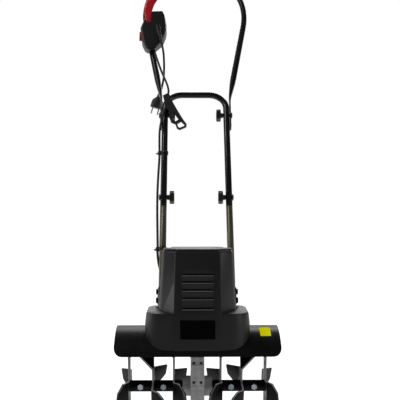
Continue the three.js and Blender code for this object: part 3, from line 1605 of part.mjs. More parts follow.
function makeLever() {
  const lever = new THREE.Group();
  lever.position.set(0, -leverPivotDepth, leverPivotPlace);
  lever.rotation.x = leverTilt * rad;
  handle.add(lever);
  const route = inFrame(leverRouteShares, leverPivotAcross(), 0, leverSpan, leverRise).map(
    ([x, z]) => new THREE.Vector3(x, 0, z),
  );
  const curve = new THREE.CatmullRomCurve3(route, false, "centripetal");
  const points = curve.getSpacedPoints(19);
  const last = points.length - 1;
  const body = sweptInPlane(
    points,
    (_, i) => {
      const end = Math.min(1, 0.72 + (last - i) * 0.14);
      return [(leverWidth / 2) * end, (leverThickness / 2) * end, 0.62];
    },
    10,
  );
  const pinHalf = leverWidth / 2 + runningGap + leverEarThickness - seatGap;
  const pin = rodX(
    leverPinRadius,
    leverPivotAcross() - pinHalf,
    leverPivotAcross() + pinHalf,
    0,
    0,
    12,
  );
  piece("bail_lever", geometryOf(joined(body, pin)), "red", lever);
}

function buttonOuter() {
  return boxLeft() - buttonStandoff;
}

// The button's inner end keeps clear of the hoop's leg when it is pressed in
function buttonInner() {
  const legSide = hoopLegAcross(buttonPlace + buttonLength / 2) - tubeRadius / Math.cos(hoopSplayAngle * rad);
  return legSide - buttonTravel - 2 * runningGap;
}

function makeLockButton() {
  const outline = softened(
    [
      [-buttonWidth / 2, buttonPlace - buttonLength / 2],
      [buttonWidth / 2, buttonPlace - buttonLength / 2],
      [buttonWidth / 2, buttonPlace + buttonLength / 2],
      [-buttonWidth / 2, buttonPlace + buttonLength / 2],
    ],
    [buttonCorner, buttonCorner, buttonCorner, buttonCorner],
    3,
  );
  piece("lock_button", pulledX(outline, buttonOuter(), buttonInner()), "red", handle);
}

function makeSwitch() {
  const right = boxLeft() + boxWidth - switchWidth * 1.2;
  const left = right - switchWidth;
  const back = boxBackDepth - boxWall - seatGap;
  const low = buttonPlace - switchHeight / 2;
  const body = block(left, right, back - switchDepth, back, low, low + switchHeight);
  const middle = (left + right) / 2;
  const plungerHalf = switchWidth / 6;
  const plunger = block(
    middle - plungerHalf,
    middle + plungerHalf,
    back - switchDepth / 2,
    back - switchDepth / 4,
    low + switchHeight - plungerHalf,
    low + switchHeight + 2 * plungerHalf,
  );
  piece("switch", geometryOf(joined(body, plunger)), "gloss", handle);
}

function routeInHandle(route) {
  return route.map(([x, along_, front]) => new THREE.Vector3(x, -front, along_));
}

function makeLead() {
  const { tip } = glandEnds();
  const points = routeInHandle(leadRoute).map((point) => point.add(tip));
  piece("mains_lead", smoothTube(points, leadRadius, 14), "rubber", handle);
  const end = points.at(-1);
  const run = end.clone().sub(points.at(-2)).normalize();
  const start = end.clone().addScaledVector(run, seatGap);
  const total = plugBootLength + plugBodyLength;
  const profile = [
    [0, 0],
    [plugBootRadius * 0.75, 0],
    [plugBootRadius, plugBootLength * 0.6],
    [plugBootRadius * 1.5, plugBootLength],
    [plugRadius * 0.94, plugBootLength + plugBodyLength * 0.3],
    [plugRadius, plugBootLength + plugBodyLength * 0.4],
    [plugRadius, total - 1],
    [plugRadius * 0.94, total],
    [0, total],
  ];
  const pins = [-1, 1].map((side) =>
    rodZ(plugPinRadius, total - 1, total + plugPinLength, (side * plugPinSpacing) / 2, 0, 10),
  );
  const plug = geometryOf(joined(turnedZ(profile, 20), ...pins));
  piece("mains_plug", along(plug, start, run), "rubber", handle);
}

function makeMotorCable() {
  piece("motor_cable", smoothTube(routeInHandle(cableRoute), cableRadius, 50), "rubber", handle);
}

// Clips: a plastic strap round the tube and the cable, with a pointed tail
function makeClips() {
  clipPlaces.forEach((place, i) => {
    const cableAcross = cableRoute.find(([, along_]) => along_ === place)[0];
    const reach = -cableAcross - tubeHalfSpacing;
    const outer = tubeRadius + seatGap + clipSheet;
    const band = joined(
      rodZ(outer, 0, clipWidth, 0, 0, 20),
      rodZ(clearing(cableRadius, 10) + clipSheet, 0, clipWidth, -reach, 0, 14),
    );
    const tail = pulledZ(
      [
        [-reach - cableRadius - clipSheet / 2, clipSheet],
        [-reach - cableRadius - 3.4 * clipSheet, 0],
        [-reach - cableRadius - clipSheet / 2, -clipSheet],
      ],
      0,
      clipWidth / 2,
    );
    const ways = [
      rodZ(clearing(tubeRadius, 20), -cutOverrun, clipWidth + cutOverrun, 0, 0, 20),
      rodZ(clearing(cableRadius, 10), -cutOverrun, clipWidth + cutOverrun, -reach, 0, 14),
    ];
    const clip = cut(joined(band, tail), ...ways);
    const name = i === 0 ? "cable_clip_upper" : "cable_clip_lower";
    piece(name, geometryOf(clip).translate(-tubeHalfSpacing, 0, place - clipWidth / 2), "plastic", handle);
  });
}

// Cable hook: a flat moulding with a slot and a loop, hung on the left corner of the crossbar by a collar
function makeHook() {
  const near = -hookDepth - hookThickness;
  const left = -tubeHalfSpacing - (tubeRadius * 2) / 3;
  const inHook = (shares) => inFrame(shares, left, hookCollarPlace - hookDrop, hookWidth, hookHeight);
  const plate = pulledY(inHook(hookOutlineShares), near, -hookDepth);
  const slot = pulledY(inHook(hookSlotShares), near - cutOverrun, cutOverrun);
  const loop = pulledY(inHook(hookLoopShares), near - cutOverrun, cutOverrun);
  const collarLow = hookCollarPlace - hookCollarHeight / 2;
  const collarHigh = hookCollarPlace + hookCollarHeight / 2;
  const collarRadius = tubeRadius + hookThickness / 2;
  const collar = rodZ(collarRadius + seatGap, collarLow, collarHigh, -tubeHalfSpacing, 0, 20);
  const webOuter = -tubeHalfSpacing + tubeRadius - 1;
  const web = block(webOuter, webOuter + hookThickness, near + 1, 0, collarLow, collarHigh);
  const way = rodZ(clearing(tubeRadius, 20), collarLow - cutOverrun, collarHigh + cutOverrun, -tubeHalfSpacing, 0, 20);
  const open = block(-2 * tubeHalfSpacing, -tubeHalfSpacing - 3, -hookDepth, hookDepth, 0, 2 * collarHigh);
  const grip = cut(joined(collar, web), way, open);
  const hook = cut(joined(plate, grip), slot, loop);
  piece("cable_hook", geometryOf(hook), "plastic", handle);
}

// Drag stake in a bracket on the back of the guard
function makeStake() {
  const back = guardRadius + seatGap;
  const half = stakeBracketWidth / 2;
  const rear = back + stakeBracketDepth;
  const low = Math.asin((stakeBracketBottom - axisHeight) / back) / rad;
  const high = Math.asin((stakeBracketTop - axisHeight) / back) / rad;
  const seatArc = arcPoints(back, high, low, 8, [0, axisHeight]);
  const outline = [...seatArc, [rear, stakeBracketBottom], [rear, stakeBracketTop]];
  const wall = (stakeBracketDepth - stakeThickness) / 2 + 1;
  const slotFront = rear - wall - stakeThickness;
  const slot = block(
    -stakeWidth / 2 - seatGap,
    stakeWidth / 2 + seatGap,
    slotFront - seatGap,
    slotFront + stakeThickness + seatGap,
    stakeBracketBottom - cutOverrun,
    stakeBracketTop + cutOverrun,
  );
  const middle = (stakeBracketBottom + stakeBracketTop) / 2;
  const screwHole = rodY(boltHole, slotFront + stakeThickness, rear + cutOverrun, 0, middle, 12);
  piece("stake_bracket", geometryOf(cut(pulledX(outline, -half, half), slot, screwHole)), "paint");

  const barOutline = softened(
    [
      [-stakeWidth / 2, 0],
      [stakeWidth / 2, 0],
      [stakeWidth / 2, stakeLength],
      [-stakeWidth / 2, stakeLength],
    ],
    [stakeWidth * 0.3, stakeWidth * 0.3, 3, 3],
    4,
  );
  const holes = [0, 1, 2, 3, 4].map((i) =>
    rodY(stakeHoleRadius, slotFront - cutOverrun, rear, 0, stakeLength - 24 - i * stakeHolePitch * 0.8, 10),
  );
  const bar = cut(pulledY(barOutline, slotFront, slotFront + stakeThickness), ...holes.slice(0, 2));
  piece("drag_stake", geometryOf(bar), "steel");

  const tip = slotFront + stakeThickness + seatGap;
  const shank = rodY(boltRadius, tip, rear + 6, 0, middle, 12);
  const head = rodY(knobRadius * 0.72, rear + seatGap, rear + 12, 0, middle, 18);
  piece("stake_knob", geometryOf(joined(shank, head)), "plastic");
}

makeGearcase();
makeNeck();
makeShaftBearings();
makeWormBearings();
makeTineShaft();
makeWormWheel();
makeWormShaft();
makeMotor();
makeTines();
makeTineBolts();
makeGuard();
makeBasePlate();
makeHousing();
makeBadge();
makeLowerTubes();
makeTubeClamps();
makeMiddleTube();
makeHoop();
makeKnobs();
makeSwitchBox();
makeGland();
makeLever();
makeLockButton();
makeSwitch();
makeLead();
makeMotorCable();
makeClips();
makeHook();
makeStake();

export default tiller;
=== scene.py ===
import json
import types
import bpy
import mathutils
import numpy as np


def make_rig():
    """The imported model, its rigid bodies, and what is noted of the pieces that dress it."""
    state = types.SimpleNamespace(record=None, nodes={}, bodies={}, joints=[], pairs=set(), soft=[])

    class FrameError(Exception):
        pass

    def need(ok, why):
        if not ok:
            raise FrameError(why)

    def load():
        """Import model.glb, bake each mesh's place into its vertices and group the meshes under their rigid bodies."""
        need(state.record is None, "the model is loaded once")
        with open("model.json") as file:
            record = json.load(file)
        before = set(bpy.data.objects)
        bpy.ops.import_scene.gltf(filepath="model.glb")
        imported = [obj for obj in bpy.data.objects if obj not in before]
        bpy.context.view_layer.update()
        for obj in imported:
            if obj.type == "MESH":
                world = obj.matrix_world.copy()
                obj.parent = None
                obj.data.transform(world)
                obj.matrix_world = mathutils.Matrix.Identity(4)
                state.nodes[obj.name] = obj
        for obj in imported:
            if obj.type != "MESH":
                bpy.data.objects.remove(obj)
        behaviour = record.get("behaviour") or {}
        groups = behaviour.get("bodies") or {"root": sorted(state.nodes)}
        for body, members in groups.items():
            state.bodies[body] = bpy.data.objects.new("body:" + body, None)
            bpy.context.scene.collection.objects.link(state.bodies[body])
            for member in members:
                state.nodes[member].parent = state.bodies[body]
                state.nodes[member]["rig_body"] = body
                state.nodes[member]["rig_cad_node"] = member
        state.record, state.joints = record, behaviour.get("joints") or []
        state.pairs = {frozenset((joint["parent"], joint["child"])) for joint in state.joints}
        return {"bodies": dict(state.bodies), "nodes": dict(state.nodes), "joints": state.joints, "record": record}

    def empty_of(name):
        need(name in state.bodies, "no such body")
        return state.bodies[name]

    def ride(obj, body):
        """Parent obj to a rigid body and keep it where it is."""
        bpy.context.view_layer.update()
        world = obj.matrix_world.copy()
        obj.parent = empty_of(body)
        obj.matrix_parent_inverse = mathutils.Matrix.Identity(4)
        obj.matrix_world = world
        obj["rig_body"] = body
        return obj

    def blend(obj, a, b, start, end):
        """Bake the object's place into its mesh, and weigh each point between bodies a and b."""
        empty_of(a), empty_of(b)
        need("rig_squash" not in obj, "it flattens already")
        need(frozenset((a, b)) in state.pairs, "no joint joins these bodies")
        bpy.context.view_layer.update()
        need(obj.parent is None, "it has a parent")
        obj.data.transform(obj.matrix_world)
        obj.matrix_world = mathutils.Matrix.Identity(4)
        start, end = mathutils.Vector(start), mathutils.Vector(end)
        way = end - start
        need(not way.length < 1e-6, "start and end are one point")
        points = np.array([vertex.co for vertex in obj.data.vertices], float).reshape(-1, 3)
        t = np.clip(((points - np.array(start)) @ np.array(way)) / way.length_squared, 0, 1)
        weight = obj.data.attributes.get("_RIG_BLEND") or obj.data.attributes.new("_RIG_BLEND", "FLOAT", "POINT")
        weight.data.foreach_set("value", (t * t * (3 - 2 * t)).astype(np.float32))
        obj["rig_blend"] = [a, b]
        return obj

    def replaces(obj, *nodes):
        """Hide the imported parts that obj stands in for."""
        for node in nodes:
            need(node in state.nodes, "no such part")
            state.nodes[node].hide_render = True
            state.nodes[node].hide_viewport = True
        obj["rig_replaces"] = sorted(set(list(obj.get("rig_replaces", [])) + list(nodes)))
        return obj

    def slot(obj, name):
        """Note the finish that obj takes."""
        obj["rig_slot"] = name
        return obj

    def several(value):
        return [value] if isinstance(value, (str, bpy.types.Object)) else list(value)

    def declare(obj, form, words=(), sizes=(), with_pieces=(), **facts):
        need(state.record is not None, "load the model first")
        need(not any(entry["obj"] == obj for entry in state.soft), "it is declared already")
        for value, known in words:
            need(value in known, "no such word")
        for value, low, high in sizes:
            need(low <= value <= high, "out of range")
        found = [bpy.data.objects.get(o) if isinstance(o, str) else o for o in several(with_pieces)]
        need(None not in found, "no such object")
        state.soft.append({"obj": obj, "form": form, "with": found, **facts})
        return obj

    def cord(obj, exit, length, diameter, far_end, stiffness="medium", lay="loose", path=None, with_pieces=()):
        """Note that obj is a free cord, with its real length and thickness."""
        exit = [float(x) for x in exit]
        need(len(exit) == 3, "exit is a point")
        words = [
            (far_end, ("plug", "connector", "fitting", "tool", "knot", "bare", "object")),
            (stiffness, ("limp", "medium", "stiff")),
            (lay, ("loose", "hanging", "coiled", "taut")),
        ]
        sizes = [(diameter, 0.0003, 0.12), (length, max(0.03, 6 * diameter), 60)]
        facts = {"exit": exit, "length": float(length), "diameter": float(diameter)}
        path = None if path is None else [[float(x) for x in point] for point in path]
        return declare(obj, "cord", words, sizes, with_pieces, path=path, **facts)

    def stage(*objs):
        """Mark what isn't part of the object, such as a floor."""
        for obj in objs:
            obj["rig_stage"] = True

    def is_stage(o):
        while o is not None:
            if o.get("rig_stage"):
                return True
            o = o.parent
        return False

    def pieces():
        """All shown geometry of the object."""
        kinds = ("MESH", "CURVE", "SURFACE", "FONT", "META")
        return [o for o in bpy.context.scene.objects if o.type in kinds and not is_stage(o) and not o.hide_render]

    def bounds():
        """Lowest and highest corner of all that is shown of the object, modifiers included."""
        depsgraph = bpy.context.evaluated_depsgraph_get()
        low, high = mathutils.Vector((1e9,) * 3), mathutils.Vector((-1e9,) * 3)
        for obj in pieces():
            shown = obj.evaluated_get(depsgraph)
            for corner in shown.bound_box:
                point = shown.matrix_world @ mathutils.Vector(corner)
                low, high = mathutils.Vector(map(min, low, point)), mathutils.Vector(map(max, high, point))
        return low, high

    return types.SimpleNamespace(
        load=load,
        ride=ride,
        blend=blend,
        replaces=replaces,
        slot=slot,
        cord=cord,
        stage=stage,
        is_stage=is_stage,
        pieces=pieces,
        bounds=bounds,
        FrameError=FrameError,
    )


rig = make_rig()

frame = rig.load()
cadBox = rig.bounds()

import json
import math

import bmesh
import bpy
from mathutils import Matrix, Vector

# The handle lies in a sloping plane: across, along the tubes from the lower bolts, and in front of that plane
handlePlane = {"footY": -0.2205, "footZ": 0.324, "slope": math.radians(57.8)}
axle = {"y": -0.2475, "z": 0.103}


def handlePoint(across, along, front=0.0):
    # Millimetres in the handle's own plane to metres in the row frame
    c = math.cos(handlePlane["slope"])
    s = math.sin(handlePlane["slope"])
    y = handlePlane["footY"] + along * c / 1000 - front * s / 1000
    z = handlePlane["footZ"] + along * s / 1000 + front * c / 1000
    return Vector((across / 1000, y, z))


def handlePlace(point):
    # The way back from the row frame: across, along and front, in millimetres
    c = math.cos(handlePlane["slope"])
    s = math.sin(handlePlane["slope"])
    y = (point[1] - handlePlane["footY"]) * 1000
    z = (point[2] - handlePlane["footZ"]) * 1000
    return point[0] * 1000, y * c + z * s, z * c - y * s


handleNormal = (handlePoint(0, 0, 1) - handlePoint(0, 0, 0)).normalized()
handleUp = (handlePoint(0, 1, 0) - handlePoint(0, 0, 0)).normalized()


def linked(name, data):
    # A new object, placed in the scene
    obj = bpy.data.objects.new(name, data)
    bpy.context.collection.objects.link(obj)
    return obj


# Camera

camera = {"place": (-0.0277, -2.3225, 0.567), "turn": 0.958, "lens": 74.7, "sensor": 36}


def makeCamera():
    data = bpy.data.cameras.new("camera")
    data.lens = camera["lens"]
    data.sensor_width = camera["sensor"]
    obj = linked("camera", data)
    obj.location = camera["place"]
    obj.rotation_euler = (math.radians(90), 0, -math.radians(camera["turn"]))
    bpy.context.scene.camera = obj


makeCamera()


# Mesh helpers

def meshObject(name, verts, faces):
    mesh = bpy.data.meshes.new(name)
    mesh.from_pydata([tuple(v) for v in verts], [], faces)
    mesh.validate()
    mesh.update()
    return linked(name, mesh)


def smoothByAngle(obj, degrees):
    # Faces shade smooth and only edges sharper than the angle stay crisp
    work = bmesh.new()
    work.from_mesh(obj.data)
    for face in work.faces:
        face.smooth = True
    limit = math.radians(degrees)
    for edge in work.edges:
        edge.smooth = not (len(edge.link_faces) == 2 and edge.calc_face_angle(0) > limit)
    work.to_mesh(obj.data)
    work.free()


def skinned(name, verts, sides, capped=True):
    # Stacked rings of points, joined by quads and closed by a face at each end
    rings = len(verts) // sides
    faces = []
    for i in range(rings - 1):
        for k in range(sides):
            a = i * sides + k
            b = i * sides + (k + 1) % sides
            faces.append((a, b, b + sides, a + sides))
    if capped:
        faces.append(tuple(reversed(range(sides))))
        faces.append(tuple(range((rings - 1) * sides, rings * sides)))
    return withFixedNormals(meshObject(name, verts, faces))


def withFixedNormals(obj):
    work = bmesh.new()
    work.from_mesh(obj.data)
    bmesh.ops.remove_doubles(work, verts=work.verts, dist=1e-6)
    bmesh.ops.recalc_face_normals(work, faces=work.faces)
    work.to_mesh(obj.data)
    work.free()
    return obj


def between(a, b, ta, tb, t):
    return a * ((tb - t) / (tb - ta)) + b * ((t - ta) / (tb - ta))


def catmull(points, steps):
    # Smooth line through points, with even parameter steps between each pair
    out = []
    pts = [points[0] * 2 - points[1], *points, points[-1] * 2 - points[-2]]
    for p0, p1, p2, p3 in zip(pts, pts[1:], pts[2:], pts[3:]):
        t1 = (p1 - p0).length ** 0.5
        t2 = t1 + (p2 - p1).length ** 0.5
        t3 = t2 + (p3 - p2).length ** 0.5
        for k in range(steps):
            t = t1 + (t2 - t1) * k / steps
            a1 = between(p0, p1, 0, t1, t)
            a2 = between(p1, p2, t1, t2, t)
            a3 = between(p2, p3, t2, t3, t)
            out.append(between(between(a1, a2, 0, t2, t), between(a2, a3, t1, t3, t), t1, t2, t))
    out.append(points[-1].copy())
    return out


def pathLength(points):
    return sum((b - a).length for a, b in zip(points, points[1:]))


def sweep(name, points, section, side=None):
    # Skin along points. section(i) gives the (u, v) pairs at a point, and side is the v direction.
    # Without a side the u direction is carried along the path
    verts = []
    last = len(points) - 1
    carried = None
    for i, point in enumerate(points):
        tangent = (points[min(i + 1, last)] - points[max(i - 1, 0)]).normalized()
        if side is None:
            if carried is None:
                carried = tangent.orthogonal().normalized()
            carried = (carried - tangent * carried.dot(tangent)).normalized()
            u = carried
            v = tangent.cross(u)
        else:
            v = side
            u = tangent.cross(v).normalized()
        verts += [point + u * a + v * b for a, b in section(i)]
    return skinned(name, verts, len(section(0)))


def ringAngles(sides):
    return [2 * math.pi * k / sides for k in range(sides)]


def circleSection(radius, sides):
    pairs = [(radius * math.cos(a), radius * math.sin(a)) for a in ringAngles(sides)]
    return lambda i: pairs


def lathe(name, profile, sides, place, axis):
    # Revolve (radius, height) points about an axis through place. A profile that closes on itself has no ends
    turn = Vector((0, 0, 1)).rotation_difference(Vector(axis).normalized()).to_matrix()
    verts = [
        Vector(place) + turn @ Vector((r * math.cos(a), r * math.sin(a), h))
        for r, h in profile
        for a in ringAngles(sides)
    ]
    return skinned(name, verts, sides, profile[0] != profile[-1])


def ringProfile(hole, radius, low, high, edge):
    # Section of a bored disc or sleeve with its outer edges broken
    return [
        (hole, low), (radius - edge, low), (radius, low + edge),
        (radius, high - edge), (radius - edge, high), (hole, high), (hole, low),
    ]


def joinPieces(name, parts):
    # Several closed pieces become one object
    base = bmesh.new()
    for part in parts:
        mesh = part.data
        base.from_mesh(mesh)
        bpy.data.objects.remove(part)
        bpy.data.meshes.remove(mesh)
    mesh = bpy.data.meshes.new(name)
    base.to_mesh(mesh)
    base.free()
    return linked(name, mesh)


def applyModifiers(obj):
    depsgraph = bpy.context.evaluated_depsgraph_get()
    mesh = bpy.data.meshes.new_from_object(obj.evaluated_get(depsgraph))
    obj.modifiers.clear()
    old = obj.data
    obj.data = mesh
    bpy.data.meshes.remove(old)


def eased(obj, width, segments, angle):
    # Edges sharper than the angle are bevelled, after any modifier that the object has
    mod = obj.modifiers.new("bevel", "BEVEL")
    mod.width = width
    mod.segments = segments
    mod.limit_method = "ANGLE"
    mod.angle_limit = math.radians(angle)
    mod.harden_normals = False
    mod.use_clamp_overlap = True
    applyModifiers(obj)


def bodyOfNode(node):
    for body, nodes in frame["record"]["behaviour"]["bodies"].items():
        if node in nodes:
            return body


def finishPiece(obj, body, finish, slotName, *nodes, smooth=None):
    # Gives a piece its shading, material, body and slot, and names the CAD nodes it stands for
    if smooth:
        smoothByAngle(obj, smooth)
    obj.data.materials.clear()
    obj.data.materials.append(material[finish])
    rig.ride(obj, body)
    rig.slot(obj, slotName)
    if nodes:
        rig.replaces(obj, *nodes)


# Mains lead, made first because it is a free cord

mainsLead = {
    "radius": 0.0032,
    "sides": 24,
    "steps": 8,
    "route": [
        (-101.2, 826.5, 30),
        (-99.2, 816.8, 29.2),
        (-97.4, 807, 25.2),
        (-95.8, 797, 18.4),
        (-94.8, 785, 9.8),
        (-94.4, 772, 1),
        (-94.4, 758, -8.3),
        (-95.2, 742, -18.4),
        (-97.4, 728, -27.2),
        (-100.8, 714.5, -35.7),
        (-105, 702, -43.6),
    ],
}


def makeMainsLead():
    path = catmull([handlePoint(*p) for p in mainsLead["route"]], mainsLead["steps"])
    lead = sweep("mainsLeadPiece", path, circleSection(mainsLead["radius"], mainsLead["sides"]))
    smoothByAngle(lead, 50)
    return lead, path


leadPiece, leadPath = makeMainsLead()
print("stage: camera and lead")


# Node trees

treeLayout = {"columns": 6, "across": 240, "down": 280}


def nodeMaker(tree):
    # Returns a function that adds a node. A value named in_... is for the input of that label or number:
    # a plain value is set, and a node, an output or a list of them is linked
    def add(kind, **values):
        node = tree.nodes.new(kind)
        row, column = divmod(len(tree.nodes), treeLayout["columns"])
        node.location = (column * treeLayout["across"], -row * treeLayout["down"])
        for key, value in values.items():
            if not key.startswith("in_"):
                setattr(node, key, value)
                continue
            label = key[3:].replace("_", " ")
            socket = node.inputs[int(label) if label.isdigit() else label]
            for entry in value if isinstance(value, list) else [value]:
                if isinstance(entry, bpy.types.Node):
                    entry = entry.outputs[0]
                if isinstance(entry, bpy.types.NodeSocket):
                    tree.links.new(entry, socket)
                else:
                    socket.default_value = entry
        return node

    return add


def startGroup(name, kind, inputs, outputs):
    # An empty node group, a function that adds its nodes, and its inputs by name.
    # Sockets are numbers unless they are called Vector or Geometry
    tree = bpy.data.node_groups.new(name, kind)
    for direction, labels in (("INPUT", inputs), ("OUTPUT", outputs)):
        for label in labels:
            socketKind = "NodeSocket" + (label if label in ("Vector", "Geometry") else "Float")
            tree.interface.new_socket(name=label, in_out=direction, socket_type=socketKind)
    add = nodeMaker(tree)
    given = {socket.name: socket for socket in add("NodeGroupInput").outputs}
    return tree, add, given


def emptied(block):
    # Turns on the nodes of a material or world, clears them and returns a function that adds new ones
    block.use_nodes = True
    block.node_tree.nodes.clear()
    return nodeMaker(block.node_tree)


def mathNode(add, operation, first, second, **more):
    return add("ShaderNodeMath", operation=operation, in_0=first, in_1=second, **more)


def ramp(add, value, low, high, **more):
    # 0 at low and 1 at high, unless more says otherwise. low may be the larger
    return add("ShaderNodeMapRange", in_Value=value, in_From_Min=low, in_From_Max=high, **more)


def noise(add, vector, scale, detail, roughness):
    return add(
        "ShaderNodeTexNoise", in_Vector=vector, in_Scale=scale, in_Detail=detail, in_Roughness=roughness,
    )


# Materials

bladeEdge = {"start": 0.022, "scale": 70.0, "steep": 0.5, "flat": 0.38}
dust = {"scale": 24.0, "color": (0.30, 0.28, 0.25)}


def addMask(add, amount, first, *others):
    # The group's mask is all the shares multiplied, times the amount
    mask = first
    for share in others:
        mask = mathNode(add, "MULTIPLY", mask, share)
    add("NodeGroupOutput", in_Mask=mathNode(add, "MULTIPLY", mask, amount, use_clamp=True))


def makeGrainGroup():
    # Fine moulded or painted skin: a height for the bump and a slow mottle for colour and roughness
    inputs = ("Vector", "Fine Scale", "Slow Scale")
    tree, add, given = startGroup("surfaceGrain", "ShaderNodeTree", inputs, ("Height", "Mottle"))
    vector, fineScale, slowScale = (given[label] for label in inputs)
    fine = noise(add, vector, fineScale, 3.0, 0.6)
    pebble = add("ShaderNodeTexVoronoi", feature="SMOOTH_F1", in_Vector=vector, in_Scale=fineScale)
    slow = noise(add, vector, slowScale, 5.0, 0.55)
    height = mathNode(add, "MULTIPLY_ADD", pebble, 0.6, in_2=fine)
    add("NodeGroupOutput", in_Height=height, in_Mottle=ramp(add, slow, 0.3, 0.7))
    return tree


def makeWearGroup():
    # Light rubbed edges, broken up so that they come and go along the edge
    inputs = ("Vector", "Radius", "Break Scale", "Amount")
    tree, add, given = startGroup("edgeWear", "ShaderNodeTree", inputs, ("Mask",))
    rounded = add("ShaderNodeBevel", samples=6, in_Radius=given["Radius"])
    normal = add("ShaderNodeNewGeometry").outputs["Normal"]
    turned = add("ShaderNodeVectorMath", operation="DOT_PRODUCT", in_0=rounded, in_1=normal)
    edge = ramp(add, turned.outputs["Value"], 0.985, 0.86)
    patches = noise(add, given["Vector"], given["Break Scale"], 4.0, 0.65)
    addMask(add, given["Amount"], edge, ramp(add, patches, 0.38, 0.56))
    return tree


def makeDustGroup():
    # Thin dust that settles on faces that look up
    tree, add, given = startGroup("settledDust", "ShaderNodeTree", ("Vector", "Amount"), ("Mask",))
    normal = add("ShaderNodeNewGeometry").outputs["Normal"]
    up = add("ShaderNodeSeparateXYZ", in_0=normal).outputs["Z"]
    cloud = noise(add, given["Vector"], dust["scale"], 6.0, 0.7)
    addMask(add, given["Amount"], ramp(add, up, 0.1, 1.0), ramp(add, cloud, 0.35, 0.75))
    return tree


def makeBladeEdgeGroup():
    # Sheared edges of the tine blades, beyond the sleeves, where the paint is rubbed off
    tree, add, given = startGroup("bladeEdge", "ShaderNodeTree", ("Vector", "Amount"), ("Mask",))
    middle = (0, axle["y"], axle["z"])
    offset = add("ShaderNodeVectorMath", operation="SUBTRACT", in_0=given["Vector"], in_1=middle)
    flat = add("ShaderNodeVectorMath", operation="MULTIPLY", in_0=offset, in_1=(0, 1, 1))
    away = add("ShaderNodeVectorMath", operation="LENGTH", in_0=flat).outputs["Value"]
    beyond = mathNode(add, "GREATER_THAN", away, bladeEdge["start"])
    normal = add("ShaderNodeNewGeometry").outputs["Normal"]
    across = add("ShaderNodeSeparateXYZ", in_0=normal).outputs["X"]
    size = add("ShaderNodeMath", operation="ABSOLUTE", in_0=across)
    edge = ramp(add, size, bladeEdge["steep"], bladeEdge["flat"])
    rubbed = noise(add, given["Vector"], bladeEdge["scale"], 4.0, 0.6)
    addMask(add, given["Amount"], beyond, edge, ramp(add, rubbed, 0.3, 0.5, in_To_Min=0.5))
    return tree


grainGroup = makeGrainGroup()
wearGroup = makeWearGroup()
dustGroup = makeDustGroup()
bladeEdgeGroup = makeBladeEdgeGroup()


def mixColor(add, factor, first, second):
    # first is an output or a colour, and second is a colour
    if not isinstance(first, bpy.types.NodeSocket):
        first = (*first, 1)
    return add("ShaderNodeMix", data_type="RGBA", in_0=factor, in_6=first, in_7=(*second, 1)).outputs[2]


def makeFinish(name, look):
    # One recipe for painted, moulded, cast and plated skins. The look says how much of each effect it has
    made = bpy.data.materials.new(name)
    add = emptied(made)
    coords = add("ShaderNodeTexCoord").outputs["Object"]
    grain = add(
        "ShaderNodeGroup", node_tree=grainGroup, in_Vector=coords,
        in_Fine_Scale=look["grainScale"], in_Slow_Scale=look["mottleScale"],
    )
    mottle = grain.outputs["Mottle"]
    smoothest, roughest = look["roughness"]
    color = mixColor(add, mottle, look["dark"], look["light"])
    metallic = look.get("metallic", 0.0)
    if "wear" in look:
        wear = look["wear"]
        worn = add(
            "ShaderNodeGroup", node_tree=wearGroup, in_Vector=coords,
            in_Radius=wear["radius"], in_Amount=wear["amount"], in_Break_Scale=wear["scale"],
        )
        color = mixColor(add, worn, color, wear["color"])
        if wear.get("metal"):
            metallic = worn
    if "bareEdge" in look:
        bare = look["bareEdge"]
        edge = add("ShaderNodeGroup", node_tree=bladeEdgeGroup, in_Vector=coords, in_Amount=bare["amount"])
        color = mixColor(add, edge, color, bare["color"])
    if "dust" in look:
        settled = add("ShaderNodeGroup", node_tree=dustGroup, in_Vector=coords, in_Amount=look["dust"])
        color = mixColor(add, settled, color, dust["color"])
    bump = add(
        "ShaderNodeBump", in_Strength=look["bump"], in_Distance=look.get("bumpDepth", 0.0002),
        in_Height=grain.outputs["Height"],
    )
    shader = add(
        "ShaderNodeBsdfPrincipled", in_Base_Color=color, in_Metallic=metallic,
        in_Roughness=add("ShaderNodeMapRange", in_Value=mottle, in_To_Min=smoothest, in_To_Max=roughest),
        in_Specular_IOR_Level=look.get("specular", 0.5), in_Normal=bump,
    )
    add("ShaderNodeOutputMaterial", in_0=shader)
    return made


